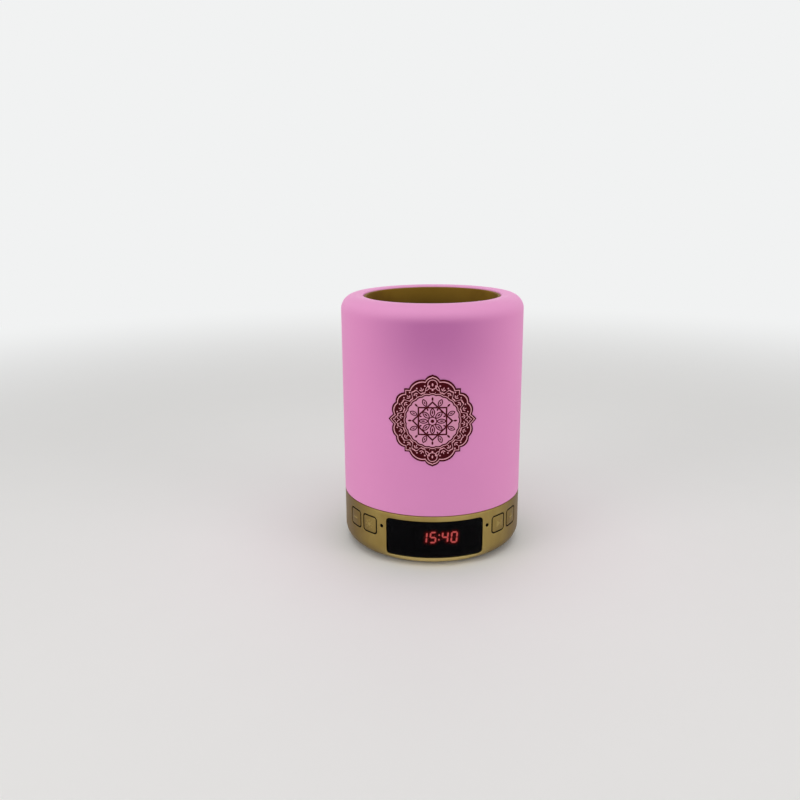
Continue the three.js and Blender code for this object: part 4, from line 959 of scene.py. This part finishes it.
class LAMP_OT_window(LampOperator, Operator):
    """Build the smoked pane and the lit clock display behind it"""
    bl_idname = "lamp.build_window"
    bl_label = "Clock window"

    def execute(self, context):
        sizes, panel, _, tones = self.settings(context)
        add_piece("clock_pane", [self.pane(sizes, panel)], "housing", smoked_pane(),
                  ["display_window"])
        self.display(panel, tones)
        return {"FINISHED"}

    @staticmethod
    def pane(sizes, panel):
        """The pane on the base's curve: its outline shrunk towards the middle ring by ring, with
        a quarter round at its edge, and closed behind by rings that are shrunk further."""
        gap, edge = panel.pane_gap, 0.35 * MM
        width = panel.window_width - 2 * gap
        tall = panel.window_high - panel.window_low - 2 * gap
        height = (panel.window_low + panel.window_high) / 2
        outline = rounded_rectangle(width, tall, panel.window_corner - gap, 40, 6)

        def laid(scale, depth, level=0.0):
            """One ring, at a level over the base's surface moved inwards by a depth."""
            x, z = scale * outline[:, 0], scale * outline[:, 1] + height
            r = base_radius(sizes, z, panel.pane_inset + depth) + level
            return around(r, np.arcsin(x / r), z)

        shrink = edge / (width / 2)
        rings = [laid(scale, 0.0) for scale in np.linspace(0, 1 - shrink, 16)]
        rings += [laid(1 - shrink * (1 - math.cos(angle)), 0.0, -edge * (1 - math.sin(angle)))
                  for angle in np.radians(np.linspace(90, 0, 4))[1:]]
        rings += [laid(scale, panel.pane_thickness) for scale in (1.0, 0.7, 0.35, 0.0)]
        return np.concatenate(rings), grid_faces(len(rings), len(outline))

    @staticmethod
    def bars(panel):
        """Middle, direction and length of every bar, and whether it is lit. A bar lies level or
        stands upright."""
        half_w = (panel.digit_width - panel.bar_width) / 2
        half_h = (panel.digit_height - panel.bar_width) / 2
        level, upright = 2 * half_w - panel.bar_gap, half_h - panel.bar_gap
        shape = [(0, half_h, 0, level), (half_w, half_h / 2, 1, upright),
                 (half_w, -half_h / 2, 1, upright), (0, -half_h, 0, level),
                 (-half_w, -half_h / 2, 1, upright), (-half_w, half_h / 2, 1, upright),
                 (0, 0, 0, level)]
        found = []
        for i, code in enumerate(LIT_BARS):
            cell = (i - 1.5) * panel.digit_pitch + (0.5 if i > 1 else -0.5) * panel.colon_space
            found += [(cell + x, y, up, span, mark == "1")
                      for (x, y, up, span), mark in zip(shape, code)]
        return found

    def display(self, panel, tones):
        """The display's case with its glowing face, and the bars in it."""
        half_w, half_t = panel.display_width / 2, panel.display_tall / 2
        face, lean, bar = panel.display_face, panel.digit_lean, panel.bar_width / 2
        sin, cos = math.sin(panel.display_turn), math.cos(panel.display_turn)
        edge, lift, bar_glow, dot_glow = 0.3 * MM, 0.12 * MM, 0.95 * MM, 0.8 * MM
        found = self.bars(panel)
        dots = (-panel.digit_height / 5, panel.digit_height / 5)

        def laid(x, y, forward):
            """A point of the display's own plane: across, up and forward of its face."""
            out = face + forward
            return np.stack((x * cos + out * sin, x * sin - out * cos, y + panel.display_height),
                            -1)

        def shine(points):
            """The lit bars' glow on the face: it falls off from each bar as a bell curve."""
            x = points[:, 0] * cos + points[:, 1] * sin
            y = points[:, 2] - panel.display_height
            forward = points[:, 0] * sin - points[:, 1] * cos - face
            glow = np.zeros(len(points))
            for middle_x, middle_y, up, span, lit in found:
                if lit:
                    dx, dy = x - middle_x - lean * y, y - middle_y
                    over, along = (dx, dy) if up else (dy, dx)
                    far = np.hypot(over, np.maximum(np.abs(along) - span / 2 + bar, 0))
                    glow = np.maximum(glow, np.exp(-(far / bar_glow) ** 2))
            for dot in dots:
                far = np.hypot(x - lean * dot, y - dot)
                glow = np.maximum(glow, np.exp(-(far / dot_glow) ** 2))
            return glow * (forward > -edge / 2)

        def case():
            """The case: a fine grid for its face, and rings from its border to its back."""
            across, up = 200, 110
            x, y = np.meshgrid(np.linspace(-half_w + edge, half_w - edge, across),
                               np.linspace(-half_t + edge, half_t - edge, up), indexing="ij")
            index = np.arange(across * up).reshape(across, up)
            border = np.concatenate((index[0], index[1:, -1], index[-1, -2::-1], index[-2:0:-1, 0]))
            rim_x, rim_y = x.ravel()[border], y.ravel()[border]
            grown = 1 + edge / half_w
            back = -panel.display_depth
            loops = [laid(rim_x * scale, rim_y * scale, forward) for scale, forward in
                     ((1.0, 0.0), (grown, -edge), (grown, back), (0.0, back))]
            return [(laid(x, y, 0.0).reshape(-1, 3), grid_faces(across, up, wrap_columns=False)),
                    (np.concatenate(loops), grid_faces(len(loops), len(border)))]

        def prism(x, y):
            """An outline in the display's plane, raised, with a bevel, and closed."""
            middle_x, middle_y = x.mean(), y.mean()
            levels = ((0, lift), (0.9, lift), (1, lift / 2), (1, -lift), (0, -lift))
            loops = [laid(middle_x + scale * (x - middle_x), middle_y + scale * (y - middle_y),
                          forward) for scale, forward in levels]
            return np.concatenate(loops), grid_faces(len(loops), len(x))

        def bar_surface(middle_x, middle_y, up, span):
            """A bar: a hexagon, pointed at both ends."""
            half = span / 2
            along = np.array([-half, bar - half, half - bar, half, half - bar, bar - half])
            across = np.array([0, -bar, -bar, 0, bar, bar])
            dx, dy = (across, along) if up else (along, across)
            high = middle_y + dy
            return prism(middle_x + dx + lean * high, high)

        surfaces, finish = case(), display_face(tones)
        add_piece("display_case", surfaces, "housing", finish, ["display_module"],
                  {"glow": shine(joined(surfaces)[0])})
        lit, dark = ([bar_surface(*part[:4]) for part in found if part[4] == wanted]
                     for wanted in (True, False))
        lit += [prism(*(bar * circle(16) + (lean * dot, dot)).T) for dot in dots]
        add_piece("lit_bars", lit, "housing", lit_bar(tones))
        add_piece("dark_bars", dark, "housing", finish, (), {"glow": shine(joined(dark)[0])})


def button_sign(number, x, y):
    """Signed distance, in millimetres, to the plain sign on a button: a minus, a lamp with rays,
    a play triangle with a bar, and a plus."""
    span, thick, corner = 3.6, 0.8, 0.3
    level = rectangle_distance(x, y, span, thick, corner)
    if number == 0:
        return level
    if number == 1:
        disc, ray_middle, ray_length, ray_width, ray_corner = 1.0, 2.1, 1.1, 0.4, 0.15
        radius, angle, eighth = np.hypot(x, y), np.arctan2(y, x), np.pi / 4
        near = (angle + eighth / 2) % eighth - eighth / 2
        rays = rectangle_distance(radius * np.cos(near) - ray_middle, radius * np.sin(near),
                                  ray_length, ray_width, ray_corner)
        return np.minimum(radius - disc, rays)
    if number == 2:
        start, half, bar_place, bar_width, bar_height, bar_corner = -1.7, 1.5, 1.9, 0.7, 3.0, 0.2
        slope_across, slope_up = 0.5, 0.87
        arrow = np.maximum(start - x, np.abs(y) * slope_up + (x - start) * slope_across - half)
        bar = rectangle_distance(x - bar_place, y, bar_width, bar_height, bar_corner)
        return np.minimum(arrow, bar)
    return np.minimum(level, rectangle_distance(x, y, thick, span, corner))


class LAMP_OT_buttons(LampOperator, Operator):
    """Build the four button caps with their raised signs"""
    bl_idname = "lamp.build_buttons"
    bl_label = "Buttons"

    def execute(self, context):
        sizes, panel, _, tones = self.settings(context)
        finish = bronze_paint("bronze_buttons", tones, sizes, 12 * MM, 36 * MM, 0.4)
        turns = (-panel.button_outer, -panel.button_inner, panel.button_inner, panel.button_outer)
        for number, turn in enumerate(turns):
            points, faces, sign = self.cap(sizes, panel, turn, number)
            add_piece(f"button_face_{number + 1}", [(points, faces)], f"button_{number + 1}",
                      finish, [f"button_cap_{number + 1}"], {"sign": sign})
        return {"FINISHED"}

    @staticmethod
    def cap(sizes, panel, turn, number):
        """A cap: the outline shrunk ring by ring. Its level is a low crown, rounded off at the
        edge, with the sign raised on it; behind it a wall goes back to the catch."""
        edge, crown, relief, catch = 0.55 * MM, 0.18 * MM, 0.14 * MM, 1.6 * MM
        gap = panel.button_gap
        shape = (panel.button_width - 2 * gap, panel.button_high - panel.button_low - 2 * gap,
                 panel.button_corner - gap)
        height = (panel.button_high + panel.button_low) / 2
        outline = rounded_rectangle(*shape, 34, 8)
        scales = np.concatenate((np.linspace(0, 0.86, 44), np.linspace(0.875, 1, 10)))[:, None]
        x, y = scales * outline[None, :, 0], scales * outline[None, :, 1]
        fall = np.clip(1 + rectangle_distance(x, y, *shape) / edge, 0, 1)
        sign = 1 - smooth(-0.06, 0.12, button_sign(number, x / MM, y / MM))
        level = crown * (1 - scales ** 2) - edge * (1 - np.sqrt(1 - fall ** 2)) + relief * sign
        r = sizes.radius + level
        front = around(r, turn + np.arcsin(x / r), y + height)
        inner = sizes.radius - sizes.wall - catch
        back = around(inner, turn + np.arcsin(x[::-6] / inner), y[::-6] + height)
        middle = around(inner, np.full((1, len(outline)), turn), height)
        every = np.concatenate((front, back, middle))
        # The sign's mask is kept on the points for the painted highlight on the raised signs.
        mark = np.concatenate((sign, np.zeros((len(back) + 1, len(outline)))))
        return every.reshape(-1, 3), grid_faces(len(every), len(outline)), mark


def lens(x, y, half_length, half_width):
    """Signed distance to a leaf between two equal arcs, pointed at both ends along y."""
    radius = (half_length ** 2 + half_width ** 2) / (2 * half_width)
    return np.hypot(np.abs(x) + radius - half_width, y) - radius


def stroke(distance, width):
    """Signed distance to a line of a width along where a distance is nought."""
    return np.abs(distance) - width / 2


def inside(distance):
    """1 inside a shape given by its signed distance in millimetres, 0 outside it."""
    return 1 - smooth(-0.07, 0.07, distance)


def folded(azimuth):
    """An azimuth folded into one quarter, from the top or the bottom to the side."""
    return np.abs((azimuth + np.pi / 2) % np.pi - np.pi / 2)


def circle_reach(farthest, radius, angle):
    """How far from the middle a circle reaches along a line at an angle to its own direction,
    nought where the line misses it."""
    centre = farthest - radius
    aside = centre * np.sin(angle)
    hit = (np.abs(aside) < radius) & (np.cos(angle) > 0)
    return hit * (centre * np.cos(angle) + np.sqrt(np.maximum(radius ** 2 - aside ** 2, 0)))


def outline_radius(sizes, azimuth):
    """Radius of the medallion's outline in millimetres, alike in all four quarters: a round
    head, a shoulder, a square corner, two side lobes and a tip, each where it reaches farthest."""
    top = folded(azimuth)
    tip = np.maximum(0, 1 - (np.pi / 2 - top) / sizes.tip_width)
    point = np.maximum(0, 1 - top / sizes.point_width)
    across = sizes.corner_across / np.maximum(np.sin(top), 1e-6)
    up = sizes.corner_up / np.maximum(np.cos(top), 1e-6)
    return np.maximum.reduce([
        sizes.radius + sizes.tip * tip,
        circle_reach(sizes.head_reach, sizes.head, top) + sizes.point * point,
        circle_reach(sizes.shoulder_reach, sizes.shoulder, top - sizes.shoulder_turn),
        circle_reach(sizes.lobe_reach, sizes.lobe, top - sizes.lobe_upper),
        circle_reach(sizes.lobe_reach, sizes.lobe, top - sizes.lobe_lower),
        np.minimum(across, up)]) / MM


class LAMP_OT_medallion(LampOperator, Operator):
    """Build the medallion: a cusped ring of leaves round a star"""
    bl_idname = "lamp.build_medallion"
    bl_label = "Medallion"

    def execute(self, context):
        _, _, medallion, tones = self.settings(context)
        finish = medallion_print(tones)
        self.ring(medallion, finish)
        self.ground(medallion, finish)
        return {"FINISHED"}

    @staticmethod
    def add(name, medallion, finish, r, azimuth, dark, light, rise, ring):
        """Adds a drawing, given in millimetres on rings of points with its signed distances. It
        is wrapped on the shade, so that its width becomes an arc, and raised by a share of the
        lines' height. A back follows the same rings, and a ring is closed inside, too."""
        unit = MM * medallion.spread
        turn = r * np.sin(azimuth) * unit / medallion.wrap + medallion.turn
        height = r * np.cos(azimuth) * unit + medallion.height
        level = medallion.level + (medallion.top - medallion.level) * rise
        every = np.concatenate([around(*part) for part in (
            (level, turn, height), (medallion.back, turn[::-4], height[::-4]),
            (medallion.back, turn[:1], height[:1]))])
        pad = np.ones((len(every) - len(r), r.shape[1]))
        add_piece(name, [(every.reshape(-1, 3), grid_faces(*every.shape[:2], wrap_rows=ring))],
                  "housing", finish, ["medallion"],
                  {"dark": np.concatenate((dark, -pad if ring else pad)),
                   "light": np.concatenate((light, pad))}, sharp=70)

    @staticmethod
    def vines(r, azimuth):
        """Signed distance to the light lines of the ring's ornament, in millimetres, alike in
        all four quarters: a stem that winds about the middle of the ring as a cosine, sharpened
        by its third harmonic, and in each of its bends a vein with two barbs, so that the dark
        between them reads as leaves that point outwards and inwards by turns, with buds outside."""
        middle, pitch, first = 16.0, math.radians(13.02), math.radians(18.4)
        swing, sharpening, bud_reach, bud = 1.55, 0.35, 17.9, 0.36
        slant, barb_foot, barb_middle = math.radians(50), 0.2, 0.75
        place = (folded(azimuth) - first) / pitch
        near = (place - np.round(place)) * pitch
        facing = 1 - 2 * (np.round(place) % 2)
        x, y = np.abs(r * np.sin(near)), (r * np.cos(near) - middle) * facing
        stem = r - middle + swing * np.cos(np.pi * place) - sharpening * np.cos(3 * np.pi * place)
        barb_across = x * math.cos(slant) - (y + barb_foot) * math.sin(slant)
        barb_along = x * math.sin(slant) + (y + barb_foot) * math.cos(slant) - barb_middle
        between = (place % 1 - 0.5) * pitch
        return np.minimum.reduce([
            stroke(stem, 0.5), lens(barb_across, barb_along, 0.8, 0.24),
            lens(x, y - 1.1, 0.7, 0.2),
            np.hypot(r * np.sin(between), r * np.cos(between) - bud_reach) - bud])

    @staticmethod
    def flowers(across, up):
        """Signed distances, in millimetres, to the heads at top and bottom with the side tips,
        and to the light lines in them. A head is a dark eye with a light drop in light arches,
        between two petals; a tip is a crossed leaf."""
        eye, eye_reach, eye_line, drop, seed = 18.3, 3.1, 2.25, 18.2, 15.1
        tip, tip_reach = 17.9, 1.9
        cheek_x, cheek_y, cheek_reach, cheek_flat = 1.9, 16.4, 1.7, 0.9
        petal_x, petal_y, sin, cos = 2.35, 16.5, 0.6, 0.8
        x, y = np.abs(across), np.abs(up)
        arch = np.hypot(x, y - eye)
        field = np.minimum(arch - eye_reach,
                           np.hypot(x - cheek_x, (y - cheek_y) * cheek_flat) - cheek_reach)
        petal = lens((x - petal_x) * cos + (y - petal_y) * sin,
                     (y - petal_y) * cos - (x - petal_x) * sin, 1.5, 0.62)
        light = np.minimum.reduce([
            stroke(arch - eye_line, 0.34), lens(x, y - drop, 0.8, 0.38), stroke(petal, 0.28),
            lens(x, y - seed, 1.0, 0.45)])
        cross = np.minimum(lens(x - tip, y, 1.6, 0.62), lens(y, x - tip, 1.5, 0.55))
        return (np.minimum(field, np.hypot(x - tip, y) - tip_reach),
                np.where(x > y, stroke(cross - 0.1, 0.28), light))

    def ring(self, medallion, finish):
        """The ring: rings of points from the ground's edge to the outline, so that its lines run
        along the grid. Its dark and light parts are kept as signed distances."""
        steps, rings = 960, 84
        edge_line, edge_gap, rim_line, rim_gap = 0.96, 1.44, 0.68, 0.36
        scallops, scallop_depth, scallop_inset = 12, 0.4, 0.45
        azimuth = np.arange(steps)[None, :] * 2 * np.pi / steps
        outer = outline_radius(medallion, azimuth)
        ground = medallion.ground / MM
        start = ground - medallion.overlap / MM
        r = start + (outer - start) * np.linspace(0, 1, rings)[:, None]
        depth = outer - r
        within = r - (ground - scallop_inset + scallop_depth * np.abs(np.cos(scallops * azimuth)))
        flower, drawn = self.flowers(r * np.sin(azimuth), r * np.cos(azimuth))
        light = np.minimum(np.maximum(self.vines(r, azimuth), -flower), np.maximum(drawn, flower))
        band = np.maximum(edge_gap - depth, rim_line - within)
        dark = np.minimum.reduce([depth - edge_line, stroke(within - 0.02, rim_line),
                                  np.maximum(band, -light)])
        salmon = np.maximum(-dark, rim_gap - within)
        rise = 0.45 * inside(dark) + inside(salmon)
        rise[-1] = 0
        self.add("medallion_ring", medallion, finish, r, azimuth, dark, salmon, rise, True)

    def ground(self, medallion, finish):
        """The field inside the ring: a star of two crossed squares, a rosette of eight leaves,
        a boss, and leaves between the star's points, all kept as one signed distance."""
        steps, rings, eighth = 720, 96, np.pi / 4
        leaf, leaf_vein, bud, gap_leaf, gap_bud = 4.35, 4.45, 11.1, 9.9, 6.3
        boss_line, boss = 2.0, 0.9
        azimuth = np.arange(steps)[None, :] * 2 * np.pi / steps
        reach = (medallion.ground - medallion.overlap) / MM
        r = np.linspace(0, reach, rings)[:, None] + 0 * azimuth
        across, up = np.abs(r * np.sin(azimuth)), np.abs(r * np.cos(azimuth))
        star = medallion.star / MM * math.cos(eighth)
        near = (azimuth + eighth / 2) % eighth - eighth / 2
        x, y = r * np.sin(near), r * np.cos(near)
        between = azimuth % eighth - eighth / 2
        gap_x, gap_y = r * np.sin(between), r * np.cos(between)
        dark = np.minimum.reduce([
            stroke(np.maximum(across, up) - star, 0.76),
            stroke((across + up) / math.sqrt(2) - star, 0.76),
            stroke(lens(x, y - leaf, 2.1, 1.02), 0.54), lens(x, y - leaf_vein, 1.1, 0.36),
            lens(x, y - bud, 1.0, 0.48), stroke(lens(gap_x, gap_y - gap_leaf, 1.8, 0.92), 0.52),
            lens(gap_x, gap_y - gap_leaf, 0.85, 0.28), lens(gap_x, gap_y - gap_bud, 0.75, 0.4),
            stroke(r - boss_line, 0.5), r - boss])
        self.add("medallion_ground", medallion, finish, r, azimuth, dark, np.ones_like(dark),
                 0.5 * inside(dark), False)


class LAMP_OT_finishes(LampOperator, Operator):
    """Give the carried-over nodes their finishes"""
    bl_idname = "lamp.finish_nodes"
    bl_label = "Finishes of the inner parts"

    def execute(self, context):
        finishes = inner_finishes()
        for name, node in frame["nodes"].items():
            kind = name.rstrip("0123456789").rstrip("_")
            if kind not in finishes:
                if node.hide_render:
                    continue
                raise RuntimeError(f"{name} has no finish")
            if not node.material_slots:
                node.data.materials.append(finishes[kind])
            for slot in node.material_slots:
                slot.material = finishes[kind]
        return {"FINISHED"}


class LAMP_OT_stage(LampOperator, Operator):
    """Set the floor, the lights and the camera"""
    bl_idname = "lamp.set_stage"
    bl_label = "Floor, lights and camera"

    def execute(self, context):
        scene = context.scene
        stage = scene.lamp_stage
        scene.view_settings.view_transform = "Standard"
        self.camera(scene, stage)
        self.floor(scene, stage)
        self.world(scene, stage)
        for name, power, place, size in LIGHTS:
            self.light(scene, name, getattr(stage, power), place, size, stage.aim)
        return {"FINISHED"}

    @staticmethod
    def camera(scene, stage):
        """The camera stands on a circle round the lamp and looks a little past its axis."""
        data = bpy.data.cameras.new("camera")
        data.sensor_width = stage.sensor
        data.lens = stage.lens
        made = bpy.data.objects.new("camera", data)
        scene.collection.objects.link(made)
        turn = stage.azimuth
        made.location = (math.sin(turn) * stage.distance, -math.cos(turn) * stage.distance,
                         stage.height)
        heading = -turn - stage.yaw
        ahead = Vector((math.sin(heading) * math.cos(stage.pitch),
                        math.cos(heading) * math.cos(stage.pitch), -math.sin(stage.pitch)))
        made.rotation_mode = "QUATERNION"
        level = ahead.to_track_quat("-Z", "Y")
        made.rotation_quaternion = level @ Quaternion((0, 0, 1), stage.roll)
        scene.camera = made

    @staticmethod
    def floor(scene, stage):
        """A round floor, whose colour goes over to the background's away from the lamp. Its
        rings go inwards, so that its faces look up."""
        radii, steps, near, far = (3.0, 1.0, 0.5, 0.2, 0.0), 96, 0.3, 0.95
        points, faces = turned(np.column_stack((radii, np.zeros(len(radii)))), steps, False)
        mesh = bpy.data.meshes.new("floor")
        mesh.from_pydata(points.tolist(), [], faces.tolist())
        made = bpy.data.objects.new("floor", mesh)
        scene.collection.objects.link(made)
        finish = Finish("pale_floor", Roughness=0.7)
        finish.feed("Base Color", finish.mix(finish.noise(40.0) * 0.2, stage.floor,
                                             screen("efeeec")))
        glow = finish.node("ShaderNodeEmission", None, {"Color": (*screen(BACKDROP), 1.0)})
        mixed = finish.node("ShaderNodeMixShader", None, {
            0: finish.reach().step(near, far), 1: finish.present("Principled BSDF"), 2: glow})
        finish.link(mixed, "Material Output", "Surface")
        mesh.materials.append(finish.material)

    @staticmethod
    def world(scene, stage):
        """A plain room light, with a pale background for what the camera, gloss and glass see."""
        world = bpy.data.worlds.new("room")
        world.use_nodes = True
        made = Nodes(world.node_tree)
        room = made.tree.nodes["Background"]
        room.inputs["Color"].default_value = (1.0, 1.0, 1.0, 1.0)
        room.inputs["Strength"].default_value = stage.room
        seen = made.node("ShaderNodeBackground", None, {"Color": (*screen(BACKDROP), 1.0)})
        camera, gloss, glass = (made.node("ShaderNodeLightPath", output=ray) for ray in (
            "Is Camera Ray", "Is Glossy Ray", "Is Transmission Ray"))
        mask = camera.math("MAXIMUM", gloss).math("MAXIMUM", glass)
        mixed = made.node("ShaderNodeMixShader", None, {0: mask, 1: made.present("Background"),
                                                        2: seen})
        made.link(mixed, "World Output", "Surface")
        scene.world = world

    @staticmethod
    def light(scene, name, power, place, size, aim):
        """A soft panel light that faces the middle of the lamp."""
        data = bpy.data.lights.new(name, "AREA")
        data.shape = "RECTANGLE"
        data.size, data.size_y = size
        data.energy = power
        made = bpy.data.objects.new(name, data)
        scene.collection.objects.link(made)
        made.location = place
        made.rotation_mode = "QUATERNION"
        made.rotation_quaternion = (Vector((0, 0, aim)) - Vector(place)).to_track_quat("-Z", "Y")


class LAMP_PT_panel(Panel):
    """Lists the lamp's sizes, colours and build steps"""
    bl_idname = "LAMP_PT_panel"
    bl_label = "Speaker Lamp"
    bl_space_type = "VIEW_3D"
    bl_region_type = "UI"
    bl_category = "Speaker Lamp"

    def draw(self, context):
        for step in BUILD_STEPS:
            self.layout.operator(step)
        for name in GROUPS:
            group, box = getattr(context.scene, name), self.layout.box()
            for key in group.__annotations__:
                box.prop(group, key)


BUILD_STEPS = ("lamp.set_stage", "lamp.build_shade", "lamp.build_recess", "lamp.build_base",
               "lamp.build_window", "lamp.build_buttons", "lamp.build_medallion",
               "lamp.finish_nodes")

GROUPS = {"lamp_sizes": LampSizes, "lamp_panel": PanelSizes, "lamp_medallion": MedallionSizes,
          "lamp_colours": FinishColours, "lamp_stage": StageSizes}

CLASSES = (*GROUPS.values(), LAMP_OT_base, LAMP_OT_shade, LAMP_OT_recess, LAMP_OT_window,
           LAMP_OT_buttons, LAMP_OT_medallion, LAMP_OT_finishes, LAMP_OT_stage, LAMP_PT_panel)


def register():
    """Registers the classes and puts each group of sizes on the scene."""
    for entry in CLASSES:
        bpy.utils.register_class(entry)
    for name, group in GROUPS.items():
        setattr(bpy.types.Scene, name, PointerProperty(type=group))


def unregister():
    """Takes away what register added."""
    for name in GROUPS:
        delattr(bpy.types.Scene, name)
    for entry in reversed(CLASSES):
        bpy.utils.unregister_class(entry)


def main():
    """What a new Blender file holds is taken out first."""
    register()
    for item in list(bpy.data.objects):
        if item.name in ("Cube", "Camera", "Light"):
            bpy.data.objects.remove(item)
    for step in BUILD_STEPS:
        group, name = step.split(".")
        getattr(getattr(bpy.ops, group), name)()
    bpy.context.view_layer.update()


if __name__ == "__main__":
    main()
